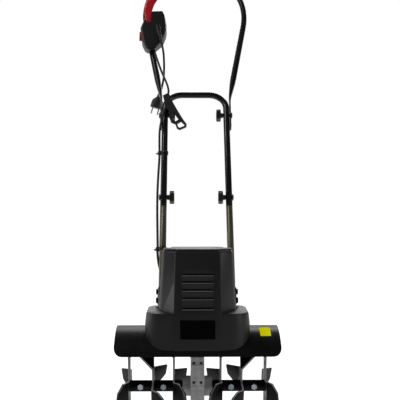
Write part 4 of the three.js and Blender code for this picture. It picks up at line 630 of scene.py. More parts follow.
finishes = {
    "tubePaint": {
        "dark": (0.0045, 0.0045, 0.005), "light": (0.0065, 0.0065, 0.007), "roughness": (0.2, 0.28),
        "grainScale": 320.0, "mottleScale": 7.0, "bump": 0.05, "dust": 0.02,
    },
    "hoopPaint": {
        "dark": (0.005, 0.005, 0.0055), "light": (0.0075, 0.0075, 0.008), "roughness": (0.24, 0.32),
        "grainScale": 320.0, "mottleScale": 7.0, "bump": 0.05, "dust": 0.02, "specular": 0.26,
    },
    "lowerTubePaint": {
        "dark": (0.12, 0.108, 0.075), "light": (0.17, 0.155, 0.112), "roughness": (0.3, 0.42),
        "grainScale": 420.0, "mottleScale": 9.0, "bump": 0.06, "metallic": 0.75,
    },
    "guardPaint": {
        "dark": (0.0035, 0.0035, 0.0037), "light": (0.0055, 0.0055, 0.006), "roughness": (0.26, 0.36),
        "grainScale": 500.0, "mottleScale": 6.0, "bump": 0.1, "dust": 0.02, "specular": 0.06,
        "wear": {"radius": 0.0009, "amount": 0.3, "scale": 70.0, "color": (0.16, 0.16, 0.16)},
    },
    "tinePaint": {
        "dark": (0.002, 0.002, 0.0024), "light": (0.0042, 0.0042, 0.005), "roughness": (0.34, 0.5),
        "grainScale": 700.0, "mottleScale": 26.0, "bump": 0.16, "specular": 0.14,
        "wear": {"radius": 0.0011, "amount": 0.5, "scale": 40.0, "color": (0.2, 0.2, 0.2), "metal": True},
        "bareEdge": {"amount": 0.85, "color": (0.4, 0.4, 0.42)},
    },
    "housingPlastic": {
        "dark": (0.0085, 0.0085, 0.0088), "light": (0.0105, 0.0105, 0.011), "roughness": (0.4, 0.48),
        "grainScale": 1400.0, "mottleScale": 10.0, "bump": 0.22, "bumpDepth": 0.00012,
        "dust": 0.03, "specular": 0.45,
        "wear": {"radius": 0.0008, "amount": 0.2, "scale": 50.0, "color": (0.06, 0.06, 0.06)},
    },
    "boxPlastic": {
        "dark": (0.0072, 0.007, 0.0082), "light": (0.0094, 0.0092, 0.0104), "roughness": (0.34, 0.44),
        "grainScale": 1500.0, "mottleScale": 14.0, "bump": 0.2, "bumpDepth": 0.0001,
        "dust": 0.02, "specular": 0.22,
    },
    "knobPlastic": {
        "dark": (0.0075, 0.0075, 0.008), "light": (0.0105, 0.0105, 0.011), "roughness": (0.36, 0.48),
        "grainScale": 1200.0, "mottleScale": 30.0, "bump": 0.15,
        "wear": {"radius": 0.0008, "amount": 0.25, "scale": 120.0, "color": (0.07, 0.07, 0.07)},
    },
    "badgeGloss": {
        "dark": (0.0005, 0.0005, 0.0005), "light": (0.0008, 0.0008, 0.0009), "roughness": (0.08, 0.13),
        "grainScale": 200.0, "mottleScale": 12.0, "bump": 0.01, "specular": 0.04,
    },
    "redGloss": {
        "dark": (0.33, 0.003, 0.006), "light": (0.39, 0.004, 0.008), "roughness": (0.2, 0.26),
        "grainScale": 260.0, "mottleScale": 12.0, "bump": 0.03, "specular": 0.3,
    },
    "castMetal": {
        "dark": (0.4, 0.4, 0.405), "light": (0.64, 0.64, 0.645), "roughness": (0.42, 0.58),
        "grainScale": 900.0, "mottleScale": 40.0, "bump": 0.35, "bumpDepth": 0.0003, "metallic": 0.3,
        "wear": {"radius": 0.0009, "amount": 0.5, "scale": 90.0, "color": (0.5, 0.5, 0.5)},
    },
    "turnedSteel": {
        "dark": (0.35, 0.35, 0.36), "light": (0.5, 0.5, 0.51), "roughness": (0.24, 0.36),
        "grainScale": 1100.0, "mottleScale": 50.0, "bump": 0.08, "metallic": 1.0,
    },
    "zincPlate": {
        "dark": (0.5, 0.53, 0.56), "light": (0.66, 0.68, 0.69), "roughness": (0.2, 0.34),
        "grainScale": 800.0, "mottleScale": 130.0, "bump": 0.06, "metallic": 1.0,
    },
    # Painted sheen: the tine bolts' zinc made near-white and nearly matte, paler than the zinc plate, so the heads
    # look lit without reflecting
    "brightBolt": {
        "dark": (0.66, 0.8, 0.86), "light": (0.86, 0.95, 0.98), "roughness": (0.28, 0.4),
        "grainScale": 800.0, "mottleScale": 130.0, "bump": 0.06, "metallic": 0.1,
    },
    # Painted highlight: the black housing plastic made pale, for the beads along the louvre ledges
    "ledgeHighlightPaint": {
        "dark": (0.075, 0.075, 0.076), "light": (0.095, 0.095, 0.096), "roughness": (0.3, 0.4),
        "grainScale": 1400.0, "mottleScale": 20.0, "bump": 0.1,
    },
    "screwSteel": {
        "dark": (0.05, 0.05, 0.052), "light": (0.09, 0.09, 0.094), "roughness": (0.3, 0.42),
        "grainScale": 900.0, "mottleScale": 160.0, "bump": 0.05, "metallic": 0.6,
    },
    # Painted shade for the screw sockets: near-black, rough and barely reflecting
    "socketPaintedShade": {
        "dark": (0.004, 0.004, 0.004), "light": (0.008, 0.008, 0.008), "roughness": (0.6, 0.8),
        "grainScale": 900.0, "mottleScale": 60.0, "bump": 0.05, "specular": 0.1,
    },
    "bronzeGear": {
        "dark": (0.38, 0.22, 0.08), "light": (0.55, 0.35, 0.14), "roughness": (0.3, 0.42),
        "grainScale": 900.0, "mottleScale": 60.0, "bump": 0.1, "metallic": 1.0,
    },
    "copperWinding": {
        "dark": (0.2, 0.07, 0.03), "light": (0.45, 0.18, 0.08), "roughness": (0.35, 0.5),
        "grainScale": 600.0, "mottleScale": 90.0, "bump": 0.4, "bumpDepth": 0.0005, "metallic": 0.8,
    },
    "softRubber": {
        "dark": (0.011, 0.0112, 0.0115), "light": (0.016, 0.0162, 0.0165), "roughness": (0.42, 0.54),
        "grainScale": 1000.0, "mottleScale": 20.0, "bump": 0.12,
    },
    "yellowPatch": {
        "dark": (0.76, 0.73, 0.002), "light": (0.84, 0.81, 0.004), "roughness": (0.5, 0.6),
        "grainScale": 300.0, "mottleScale": 20.0, "bump": 0.03, "specular": 0.0,
    },
    "boltBlack": {
        "dark": (0.03, 0.03, 0.031), "light": (0.06, 0.06, 0.06), "roughness": (0.25, 0.4),
        "grainScale": 900.0, "mottleScale": 90.0, "bump": 0.08, "metallic": 0.7,
    },
}
material = {name: makeFinish(name, look) for name, look in finishes.items()}
print("stage: materials")


# Floor, sky and lamps

studio = {
    "floorSize": 16.0,
    "floorColor": 0.42,
    "floorLift": 0.78,
    "floorRamp": (-1.0, 0.4),
    "skyLevel": 0.62,
    "skyRamp": (0.6, 0.95),
    "dimReflection": 0.03,
    "lamps": {
        "leftHigh": {"at": (-1.35, -0.35, 2.7), "to": (-0.05, 0.1, 0.6), "size": (0.5, 1.3), "power": 13},
        "leftLow": {"at": (-2.2, 0.55, 0.9), "to": (0, -0.3, 0.35), "size": (0.7, 1.5), "power": 9},
        "rightLow": {"at": (2.3, -1.4, 0.95), "to": (0, -0.3, 0.35), "size": (0.7, 1.5), "power": 9},
        "backHigh": {"at": (0.3, 2.1, 1.9), "to": (0, 0, 0.4), "size": (2.2, 0.8), "power": 22},
    },
}


def seenStraight(add, rays):
    # 1 for rays that come straight from the camera or through something clear
    return mathNode(add, "MAXIMUM", rays["Is Camera Ray"], rays["Is Transmission Ray"])


def makeFloor():
    # White to the camera, with the shadow left on it. Reflections see it white behind and dim in front
    half = studio["floorSize"] / 2
    corners = [(-half, -half, 0), (half, -half, 0), (half, half, 0), (-half, half, 0)]
    floor = meshObject("studioFloor", corners, [(0, 1, 2, 3)])
    paper = bpy.data.materials.new("studioPaper")
    add = emptied(paper)
    matte = add("ShaderNodeBsdfDiffuse", in_Color=(studio["floorColor"],) * 3 + (1,))
    lift = add("ShaderNodeEmission", in_Strength=studio["floorLift"])
    both = add("ShaderNodeAddShader", in_0=matte, in_1=lift)
    rays = add("ShaderNodeLightPath").outputs
    spot = add("ShaderNodeSeparateXYZ", in_0=add("ShaderNodeTexCoord").outputs["Object"])
    behind = ramp(add, spot.outputs["Y"], *studio["floorRamp"])
    mirrored = mathNode(add, "MULTIPLY", behind, rays["Is Glossy Ray"])
    lifted = mathNode(add, "MAXIMUM", seenStraight(add, rays), mirrored)
    add("ShaderNodeOutputMaterial", in_0=add("ShaderNodeMixShader", in_0=lifted, in_1=matte, in_2=both))
    floor.data.materials.append(paper)
    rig.stage(floor)


def makeSky():
    # White to the camera. Reflections see the white backdrop behind the machine and a dimmer room in front
    world = bpy.data.worlds.new("studioSky")
    add = emptied(world)
    direction = add("ShaderNodeSeparateXYZ", in_0=add("ShaderNodeTexCoord").outputs["Generated"])
    room = ramp(add, direction.outputs["Y"], *studio["skyRamp"], in_To_Min=studio["dimReflection"])
    rays = add("ShaderNodeLightPath").outputs
    white, soft, mirror = (
        add("ShaderNodeBackground", in_Strength=strength, in_Color=(1, 1, 1, 1))
        for strength in (1.0, studio["skyLevel"], room)
    )
    indirect = add("ShaderNodeMixShader", in_0=rays["Is Glossy Ray"], in_1=soft, in_2=mirror)
    whole = add("ShaderNodeMixShader", in_0=seenStraight(add, rays), in_1=indirect, in_2=white)
    add("ShaderNodeOutputWorld", in_0=whole)
    bpy.context.scene.world = world


def makeLamps():
    for name, lamp in studio["lamps"].items():
        data = bpy.data.lights.new(name, "AREA")
        data.shape = "RECTANGLE"
        data.size, data.size_y = lamp["size"]
        data.energy = lamp["power"]
        obj = linked(name, data)
        obj.location = lamp["at"]
        aim = Vector(lamp["to"]) - Vector(lamp["at"])
        obj.rotation_euler = aim.to_track_quat("-Z", "Y").to_euler()


makeFloor()
makeSky()
makeLamps()
bpy.context.scene.view_settings.view_transform = "Standard"
print("stage: floor, sky and lamps")


# Handle tubes

tubes = {
    "radius": 9.0,
    "wall": 1.5,
    "sides": 36,
    "halfSpacing": 89.0,
    "lowerEnd": -36.0,
    "seam": 264.4,
    "seamGap": 0.3,
    "swageRadius": 6.9,
    "swageEnd": 326.4,
    "crossbar": 652.8,
    "crossbarCorner": 50.0,
    "cornerSteps": 28,
    "edge": {"width": 0.0008, "segments": 2, "angle": 60},
}

hoop = {
    "legAcross": 100.5,
    "end": 531.5,
    "flatTop": 606.0,
    "kink": 640.4,
    "roundShare": 0.125,
    "halfWidth": 155.0,
    "widest": 974.0,
    "sideRadius": 250.0,
    "cornerRadius": 85.0,
    "arcSteps": 30,
    "splay": math.radians(9.7),
    "turn": math.radians(16.8),
    "flatThickness": 4.4,
    "flatWidth": 25.0,
    "flatSquare": 0.4,
    "step": 4.0,
    "rounds": 10,
    "edge": {"width": 0.0012, "segments": 3, "angle": 60},
}


def arcPairs(cx, cy, radius, start, stop, steps):
    angles = [start + (stop - start) * k / steps for k in range(steps + 1)]
    return [(cx + radius * math.cos(a), cy + radius * math.sin(a)) for a in angles]


def evenly(pairs, step):
    # Same line with points a fixed step apart
    pts = [Vector(p) for p in pairs]
    out = [pts[0]]
    carry = 0.0
    for a, b in zip(pts, pts[1:]):
        length = (b - a).length
        at = step - carry
        while at <= length:
            out.append(a + (b - a) * (at / length))
            at += step
        carry = (carry + length) % step
    if (out[-1] - pts[-1]).length > step * 0.3:
        out.append(pts[-1])
    else:
        out[-1] = pts[-1]
    return out


def relaxed(points, rounds):
    # Rounds off the kinks of a line and leaves its ends
    pts = [p.copy() for p in points]
    for _ in range(rounds):
        pts = [pts[0]] + [(a + b * 2 + c) / 4 for a, b, c in zip(pts, pts[1:], pts[2:])] + [pts[-1]]
    return pts


def superRing(halfWidth, halfDepth, square, sides):
    # An ellipse at square 1, and closer to a rectangle below that
    pairs = []
    for a in ringAngles(sides):
        u, v = (math.copysign(abs(w) ** square, w) for w in (math.cos(a), math.sin(a)))
        pairs.append((halfWidth * u, halfDepth * v))
    return pairs


def smoothstep(value, low, high):
    t = min(1.0, max(0.0, (value - low) / (high - low)))
    return t * t * (3 - 2 * t)


def makeMiddleTube():
    side = tubes["halfSpacing"]
    corner = tubes["crossbarCorner"]
    bend = tubes["crossbar"] - corner
    steps = tubes["cornerSteps"]
    pairs = [(side, tubes["seam"]), (side, bend - 1)]
    pairs += arcPairs(side - corner, bend, corner, 0, math.pi / 2, steps)
    pairs += arcPairs(-side + corner, bend, corner, math.pi / 2, math.pi, steps)
    pairs += [(-side, bend - 1), (-side, tubes["seam"])]
    points = [handlePoint(a, s) for a, s in pairs]
    section = circleSection(tubes["radius"] / 1000, tubes["sides"])
    tube = sweep("middleTubePainted", points, section, side=handleNormal)
    eased(tube, **tubes["edge"])
    finishPiece(tube, "chassis", "tubePaint", "tube_paint", "middle_tube", smooth=50)


def makeLowerTubes():
    keys = ("radius", "wall", "swageRadius", "lowerEnd", "swageEnd")
    r, w, swage, low, top = (tubes[key] / 1000 for key in keys)
    seam = (tubes["seam"] - tubes["seamGap"]) / 1000
    profile = [
        (swage - w, low),
        (r - 0.0003, low),
        (r, low + 0.0004),
        (r, seam - 0.0007),
        (r - 0.0002, seam - 0.0002),
        (r - 0.0007, seam),
        (swage, seam),
        (swage, top),
        (swage - w, top),
        (swage - w, low),
    ]
    for name, side in (("right", 1), ("left", -1)):
        start = handlePoint(side * tubes["halfSpacing"], 0)
        tube = lathe(name + "LowerTube", profile, tubes["sides"], start, handleUp)
        finishPiece(tube, "chassis", "lowerTubePaint", "tube_paint", "lower_tube_" + name, smooth=40)


def hoopLine():
    leg = hoop["legAcross"]
    sideCentre = hoop["halfWidth"] - hoop["sideRadius"]
    gap = hoop["sideRadius"] - hoop["cornerRadius"]
    cornerX = sideCentre + gap * math.cos(hoop["turn"])
    cornerZ = hoop["widest"] + gap * math.sin(hoop["turn"])
    rise = hoop["kink"] * hoop["roundShare"]
    steps = hoop["arcSteps"]
    half = [(leg, hoop["end"]), (leg, hoop["flatTop"]), (leg, hoop["kink"])]
    half.append((leg + rise * math.tan(hoop["splay"]), hoop["kink"] + rise))
    half += arcPairs(sideCentre, hoop["widest"], hoop["sideRadius"], -hoop["splay"], hoop["turn"], steps)
    half += arcPairs(cornerX, cornerZ, hoop["cornerRadius"], hoop["turn"], math.pi / 2, steps)[1:]
    whole = half + [(-x, z) for x, z in reversed(half)]
    return relaxed(evenly(whole, hoop["step"]), hoop["rounds"])


def makeHoop():
    # The flattened ends turn round towards the bends
    line = hoopLine()
    roundAt = hoop["kink"] * (1 + hoop["roundShare"])
    radius = tubes["radius"]
    flatWidth, flatDepth = hoop["flatThickness"] / 2, hoop["flatWidth"] / 2
    sections = []
    for p in line:
        share = smoothstep(p[1], hoop["flatTop"], roundAt)
        width = flatWidth + (radius - flatWidth) * share
        depth = flatDepth + (radius - flatDepth) * share
        square = hoop["flatSquare"] + (1 - hoop["flatSquare"]) * share
        sections.append(superRing(width / 1000, depth / 1000, square, tubes["sides"]))
    points = [handlePoint(p[0], p[1]) for p in line]
    tube = sweep("upperHoopPainted", points, lambda i: sections[i], side=handleNormal)
    eased(tube, **hoop["edge"])
    finishPiece(tube, "handle", "hoopPaint", "tube_paint", "upper_hoop", smooth=50)


makeMiddleTube()
makeLowerTubes()
makeHoop()
print("stage: tubes")


# Knobs and the bolts they tighten

knob = {
    "face": 79.7,
    "radius": 18.0,
    "lobes": 6,
    "lobeDepth": 1.7,
    "thickness": 13.0,
    "hubRadius": 7.0,
    "hubLength": 7.0,
    "sides": 96,
    "places": {"lower": 295.5, "upper": 576.8},
}

handleBolt = {
    "shank": 4.0,
    "headRadius": 9.0,
    "headHeight": 3.6,
    "sides": 36,
    "seats": {"lower": 98.3, "upper": 103.0},
}


def knobRings():
    # Each ring: place along the bolt, how far in from the rim, and how much of the lobes it shows
    face = knob["face"]
    hubStart = face - knob["hubLength"]
    start = hubStart - knob["thickness"]
    rim = knob["radius"]
    hub = rim - knob["hubRadius"]
    return [
        (start + 2.4, rim - 5.6, 0.0),
        (start + 2.2, rim - 7.4, 0.0),
        (start + 1.0, rim - 8.2, 0.0),
        (start + 0.3, rim - 9.4, 0.1),
        (start, 5.2, 0.5),
        (start, 2.6, 0.8),
        (start + 0.35, 1.3, 0.95),
        (start + 1.1, 0.4, 1.0),
        (start + 2.2, 0.0, 1.0),
        (hubStart - 2.2, 0.0, 1.0),
        (hubStart - 1.1, 0.4, 1.0),
        (hubStart - 0.35, 1.3, 0.95),
        (hubStart, 2.6, 0.8),
        (hubStart, hub - 1.6, 0.0),
        (hubStart + 1.0, hub - 0.3, 0.0),
        (face - 0.6, hub, 0.0),
        (face, hub + 0.6, 0.0),
    ]


def makeKnob(level, sideName, side):
    along = knob["places"][level]
    verts = []
    for across, inset, show in knobRings():
        for a in ringAngles(knob["sides"]):
            r = knob["radius"] - inset - knob["lobeDepth"] * show * (0.5 - 0.5 * math.cos(knob["lobes"] * a))
            verts.append(handlePoint(side * across, along + r * math.sin(a), r * math.cos(a)))
    obj = skinned(sideName + level.capitalize() + "Knob", verts, knob["sides"])
    body = f"{level}_{sideName}_knob"
    finishPiece(obj, body, "knobPlastic", "black_plastic", f"knob_{level}_{sideName}", smooth=38)


def makeHandleBolt(level, sideName, side):
    seat = handleBolt["seats"][level]
    head = handleBolt["headRadius"]
    high = handleBolt["headHeight"]
    tip = knob["face"] - knob["hubLength"] - knob["thickness"] / 4
    profile = [
        (handleBolt["shank"], tip - seat),
        (handleBolt["shank"], 0),
        (head - 0.3, 0),
        (head, 0.3),
        (head * 0.985, high * 0.36),
        (head * 0.92, high * 0.62),
        (head * 0.76, high * 0.85),
        (head * 0.5, high),
        (head * 0.46, high),
        (head * 0.42, high * 0.45),
    ]
    profile = [(r / 1000, h / 1000) for r, h in profile]
    name = sideName + level.capitalize() + "Bolt"
    start = handlePoint(side * seat, knob["places"][level])
    obj = lathe(name, profile, handleBolt["sides"], start, (side, 0, 0))
    node = f"bolt_{level}_{sideName}"
    finishPiece(obj, bodyOfNode(node), "boltBlack", "zinc", node, smooth=35)


for level in ("lower", "upper"):
    for sideName, side in (("right", 1), ("left", -1)):
        makeKnob(level, sideName, side)
        makeHandleBolt(level, sideName, side)
print("stage: knobs and bolts")


# Red lever over the top of the hoop

lever = {
    "pivotAcross": -145.0,
    "pivotAlong": 930.0,
    "pivotFront": 17.0,
    "tilt": math.radians(9.0),
    "width": 20.0,
    "broad": {"gain": 0.38, "at": 66.0, "spread": 58.0},
    "thickness": 9.4,
    "tipRound": 14.0,
    "tipBlunt": 0.02,
    "tipTaper": {"share": 0.2, "length": 60.0},
    "footRound": 8.0,
    "footBlunt": 0.05,
    "square": 0.62,
    "sides": 40,
    "steps": 14,
    "step": 3.0,
    "rounds": 6,
    "pinRadius": 3.5,
    "pinHalf": 12.7,
    "pinSides": 24,
    "route": [
        (-145, 924), (-145, 950), (-146.5, 974), (-142, 996), (-130.5, 1016), (-114, 1036),
        (-91, 1056), (-62, 1072.5), (-28, 1082.5), (18, 1086), (62, 1085.4),
    ],
}


def leverPoint(across, along, front=0.0):
    # The lever's own plane is tipped forward about its pin
    rise = along - lever["pivotAlong"]
    c, s = math.cos(lever["tilt"]), math.sin(lever["tilt"])
    forward = lever["pivotFront"] + rise * s + front * c
    return handlePoint(across, lever["pivotAlong"] + rise * c - front * s, forward)


def roundedEnd(away, length, blunt):
    # 1 along the bar, less within a length of its end
    return math.sqrt(max(blunt, 1 - max(0.0, 1 - away / length) ** 2))


def leverSection(done, left):
    # Rounded at both ends, tapered towards the tip and broader above the box
    broad = lever["broad"]
    taper = lever["tipTaper"]
    end = 1 - taper["share"] + taper["share"] * smoothstep(left, 0, taper["length"])
    end *= roundedEnd(left, lever["tipRound"], lever["tipBlunt"])
    end *= roundedEnd(done, lever["footRound"], lever["footBlunt"])
    away = min(1.0, abs(done - broad["at"]) / broad["spread"])
    flare = 1 + broad["gain"] * 0.5 * (1 + math.cos(math.pi * away))
    halfWidth = lever["width"] / 2000 * end * flare
    return superRing(halfWidth, lever["thickness"] / 2000 * end, lever["square"], lever["sides"])


def makeLever():
    flat = catmull([Vector((a, s, 0)) for a, s in lever["route"]], lever["steps"])
    line = relaxed(evenly([(p.x, p.y) for p in flat], lever["step"]), lever["rounds"])
    total = pathLength(line)
    sections = []
    done = 0.0
    for i, p in enumerate(line):
        if i:
            done += (p - line[i - 1]).length
        sections.append(leverSection(done, total - done))
    points = [leverPoint(p[0], p[1]) for p in line]
    normal = (leverPoint(0, 0, 1) - leverPoint(0, 0, 0)).normalized()
    bar = sweep("bailLeverRed", points, lambda i: sections[i], side=normal)
    r = lever["pinRadius"] / 1000
    half = lever["pinHalf"] / 1000
    profile = [(r - 0.0005, -half), (r, -half + 0.0005), (r, half - 0.0005), (r - 0.0005, half)]
    middle = leverPoint(lever["pivotAcross"], lever["pivotAlong"])
    pin = lathe("leverPin", profile, lever["pinSides"], middle, (1, 0, 0))
    whole = joinPieces("bailLeverRed", [bar, pin])
    finishPiece(whole, "lever", "redGloss", "red_plastic", "bail_lever", smooth=45)


makeLever()
print("stage: lever")


# Gland, plug and motor cable

gland = {
    "root": (-112.4, 881, 34.6),
    "tip": (-101.2, 826.5, 30),
    "rootRadius": 6.2,
    "tipRadius": 4.2,
    "bore": 3.4,
    "flange": 1.4,
    "gap": 0.3,
    "grooves": 7,
    "grooveDepth": 0.7,
    "grooveSteps": 8,
    "grooveEnd": 0.93,
    "bodyShare": 0.88,
    "sides": 32,
}


def makeGland():
    # Tapered relief with shallow grooves all along it
    tip = handlePoint(*gland["tip"])
    root = handlePoint(*gland["root"])
    run = (root - tip).normalized()
    length = (root - tip).length - gland["gap"] / 1000
    start = tip + run * gland["gap"] / 1000
    thin = gland["tipRadius"]
    profile = [(gland["bore"] / 1000, 0), (thin / 1000 - 0.0004, 0), (thin / 1000, 0.0005)]
    body = length * gland["bodyShare"]
    steps = gland["grooves"] * gland["grooveSteps"]
    for k in range(2, steps + 1):
        share = k / steps
        ridge = 0.5 - 0.5 * math.cos(2 * math.pi * gland["grooves"] * share)
        radius = thin + (gland["rootRadius"] - thin) * share
        depth = gland["grooveDepth"] * ridge ** 3 * (share < gland["grooveEnd"])
        profile.append(((radius - depth) / 1000, body * share))
    flange = (gland["rootRadius"] + gland["flange"]) / 1000
    profile += [(flange - 0.0004, length * 0.915), (flange, length * 0.925)]
    profile += [(flange, length * 0.995), (flange - 0.0004, length)]
    obj = lathe("cordReliefRubber", profile, gland["sides"], start, run)
    finishPiece(obj, "handle", "softRubber", "rubber", "cord_gland", smooth=40)


plug = {
    "gap": 0.3,
    "bore": 3.4,
    "boot": 20.0,
    "bootRadius": 6.5,
    "bootSteps": 24,
    "grooves": 4,
    "grooveDepth": 0.55,
    "body": 32.0,
    "radius": 18.0,
    "sides": 48,
    "pinRadius": 2.4,
    "pinLength": 19.0,
    "pinSpacing": 19.0,
    "pinSides": 24,
}


def plugProfile():
    boot = plug["boot"]
    body = plug["body"]
    total = boot + body
    r = plug["radius"]
    b = plug["bootRadius"]
    profile = [(plug["bore"], 0), (b * 0.72, 0), (b * 0.78, 0.5)]
    for k in range(1, plug["bootSteps"] + 1):
        share = k / plug["bootSteps"]
        groove = plug["grooveDepth"] * (0.5 - 0.5 * math.cos(2 * math.pi * plug["grooves"] * share)) ** 2
        profile.append((b * 0.78 + b * 0.4 * share - groove, 0.5 + (boot - 2.5) * share))
    profile += [(b * 1.35, boot - 0.6), (b * 1.5, boot)]
    swell = ((0.7, 0.11), (0.88, 0.22), (0.965, 0.34), (0.99, 0.45), (1, 0.6))
    profile += [(r * a, boot + body * h) for a, h in swell]
    profile += [(r, total - 2.2), (r * 0.975, total - 0.9), (r * 0.93, total - 0.2), (r * 0.88, total)]
    return [(a / 1000, h / 1000) for a, h in profile]


def makePlug():
    end = handlePoint(*mainsLead["route"][-1])
    run = (end - handlePoint(*mainsLead["route"][-2])).normalized()
    start = end + run * plug["gap"] / 1000
    shell = lathe("plugShell", plugProfile(), plug["sides"], start, run)
    finishPiece(shell, "handle", "softRubber", "rubber", "mains_plug", smooth=40)
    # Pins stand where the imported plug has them: either side of its middle
    turn = Vector((0, 0, 1)).rotation_difference(run).to_matrix()
    total = plug["boot"] + plug["body"]
    p = plug["pinRadius"] / 1000
    base = (total - 1) / 1000
    tip = (total + plug["pinLength"]) / 1000
    profile = [(p, base), (p, tip - 0.0012), (p * 0.85, tip - 0.0004), (p * 0.5, tip)]
    pins = []
    for side in (-1, 1):
        at = start + turn @ Vector((side * plug["pinSpacing"] / 2000, 0, 0))
        pins.append(lathe("pin", profile, plug["pinSides"], at, run))
    both = joinPieces("plugPins", pins)
    finishPiece(both, "handle", "zincPlate", "zinc", smooth=40)
    return shell, both


motorCable = {
    "radius": 0.0032,
    "sides": 20,
    "steps": 8,
    "bendStart": (-98, 540),
    "bendEnd": (-80, 640),
    "route": [
        (-125.4, 828, 15.8), (-122, 806, 15), (-118, 790, 15), (-111, 765, 14), (-102, 735, 13.6),
        (-92, 706, 13.8), (-84, 682, 14.4), (-79.5, 660, 14.6), (-80.4, 640, 15.6), (-83, 620, 16),
        (-87, 598, 16.2), (-92, 575, 16.4), (-97, 552, 16.4), (-101, 527, 16.8), (-103, 508, 12),
        (-103.4, 486, 4), (-103, 462, 0.5), (-102.4, 443, 0), (-103, 415, 0), (-104.6, 370, 0),
        (-105.8, 320, 0), (-105.6, 262, 0), (-104.2, 205, 0), (-102.8, 160, 0), (-102.4, 146, 0),
        (-102.4, 135, 0), (-102.3, 124, -0.6), (-101, 109, -4), (-98, 92, -9.5), (-92, 74, -13),
        (-84, 60, -12.6), (-73, 47, -7), (-62, 35.6, -1.2), (-55.5, 27.4, 3.4), (-51, 19.2, 10.9),
    ],
}


def makeMotorCable():
    points = catmull([handlePoint(*p) for p in motorCable["route"]], motorCable["steps"])
    cable = sweep("motorCableRubber", points, circleSection(motorCable["radius"], motorCable["sides"]))
    smoothByAngle(cable, 50)
    cable.data.materials.append(material["softRubber"])
    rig.slot(cable, "rubber")
    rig.replaces(cable, "motor_cable")
    start, end = (handlePoint(*motorCable[key]) for key in ("bendStart", "bendEnd"))
    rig.blend(cable, "chassis", "handle", start=start, end=end)


makeGland()
plugShell, plugPins = makePlug()
finishPiece(leadPiece, "handle", "softRubber", "rubber", "mains_lead")
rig.cord(
    leadPiece,
    exit=leadPath[0],
    length=pathLength(leadPath),
    diameter=2 * mainsLead["radius"],
    far_end="plug",
    stiffness="medium",
    lay="hanging",
    path=leadPath,
    with_pieces=[plugShell, plugPins],
)
makeMotorCable()
print("stage: gland, plug and cables")


# Tine wheels: flat shanks whose tips are folded sideways, welded on two sleeves a side

tine = {
    "thickness": 4.5,
    "root": 15.0,
    "rootStart": 12.6,
    "eye": 19.8,
    "eyeEdge": 0.5,
    "eyeSides": 48,
    "sleeve": 14.0,
    "sleeveEdge": 0.7,
    "sleeveSides": 56,
    "bore": 10.6,
    "edge": {"width": 0.0006, "segments": 2, "angle": 25},
    "blades": {
        "broad": {"near": 80, "far": 62, "low": -36, "high": 22, "reach": 111, "fold": 50},
        "wide": {"near": 80, "far": 62, "low": -36, "high": 22, "reach": 104, "fold": 46},
        "middle": {"near": 80, "far": 62, "low": -26, "high": 23, "reach": 112, "fold": 50},
        "late": {"near": 92, "far": 78, "low": -21, "high": 21, "reach": 107.5, "fold": 48},
        "early": {"near": 66, "far": 52, "low": -21, "high": 21, "reach": 110.5, "fold": 48},
    },
    "sets": {
        "inner": {
            "sleeve": (37.5, 112.6),
            "stars": [
                {"at": 58, "phase": -7, "bends": [(-1, "broad"), (1, "late")] * 2},
                {"at": 109.6, "phase": -13, "bends": [(-1, "middle"), (1, "early")] * 2},
            ],
        },
        "outer": {
            "sleeve": (112.9, 174),
            "stars": [
                {"at": 169, "phase": -7, "bends": [(1, "wide"), (-1, "late")] * 2},
            ],
        },
    },
}


def tineBlade(form, bend):
    # Middle surface of a blade along +Y: the shank and the folded tip share the slanting fold line
    near, far, low, high, reach = (form[key] for key in ("near", "far", "low", "high", "reach"))
    root = tine["root"]
    start = tine["rootStart"]
    shank = [(start, -root), (near * 0.6, low * 0.78), (near, low)]
    shank += [(far, high), (near * 0.6, high * 0.8), (start, root)]
    tip = [(reach * 0.9, low * 0.94), (reach, low * 0.3), (reach * 0.965, high * 0.86)]
    foldStart = Vector((0, near, low))
    line = Vector((0, far - near, high - low)).normalized()
    turn = Matrix.Rotation(-bend * math.radians(form["fold"]), 3, line)
    points = [Vector((0, y, z)) for y, z in shank]
    points += [foldStart + turn @ (Vector((0, y, z)) - foldStart) for y, z in tip]
    obj = meshObject("tineBlade", [p / 1000 for p in points], [(0, 1, 2, 3, 4, 5), (2, 6, 7, 8, 3)])
    plate = obj.modifiers.new("plate", "SOLIDIFY")
    plate.thickness = tine["thickness"] / 1000
    plate.offset = 0
    plate.use_even_offset = True
    eased(obj, **tine["edge"])
    return obj


def tineStar(star, side):
    middle = (side * star["at"] / 1000, axle["y"], axle["z"])
    eye, hole, edge = (tine[key] / 1000 for key in ("eye", "bore", "eyeEdge"))
    half = tine["thickness"] / 2000
    profile = ringProfile(hole, eye, -half, half, edge)
    parts = [lathe("tineEye", profile, tine["eyeSides"], middle, (1, 0, 0))]
    for i, (bend, form) in enumerate(star["bends"]):
        angle = math.radians(180 - star["phase"] - 90 * i)
        blade = tineBlade(tine["blades"][form], bend * side)
        blade.data.transform(Matrix.Translation(middle) @ Matrix.Rotation(angle, 4, "X"))
        parts.append(blade)
    return parts


def makeTineSet(where, sideName, side):
    held = tine["sets"][where]
    low, high = sorted(side * x / 1000 for x in held["sleeve"])
    radius, hole, edge = (tine[key] / 1000 for key in ("sleeve", "bore", "sleeveEdge"))
    profile = ringProfile(hole, radius, low, high, edge)
    parts = [lathe("tineSleeve", profile, tine["sleeveSides"], (0, axle["y"], axle["z"]), (1, 0, 0))]
    for star in held["stars"]:
        parts += tineStar(star, side)
    whole = joinPieces("tineSet" + where.capitalize() + sideName.capitalize(), parts)
    node = f"tine_set_{where}_{sideName}"
    finishPiece(whole, bodyOfNode(node), "tinePaint", "tine_paint", node, smooth=32)


for where in tine["sets"]:
    for sideName, side in (("right", 1), ("left", -1)):
        makeTineSet(where, sideName, side)
print("stage: tine wheels")


# Two copies have points moved: the switch box's foot is raked and the guard's rear hem is lifted

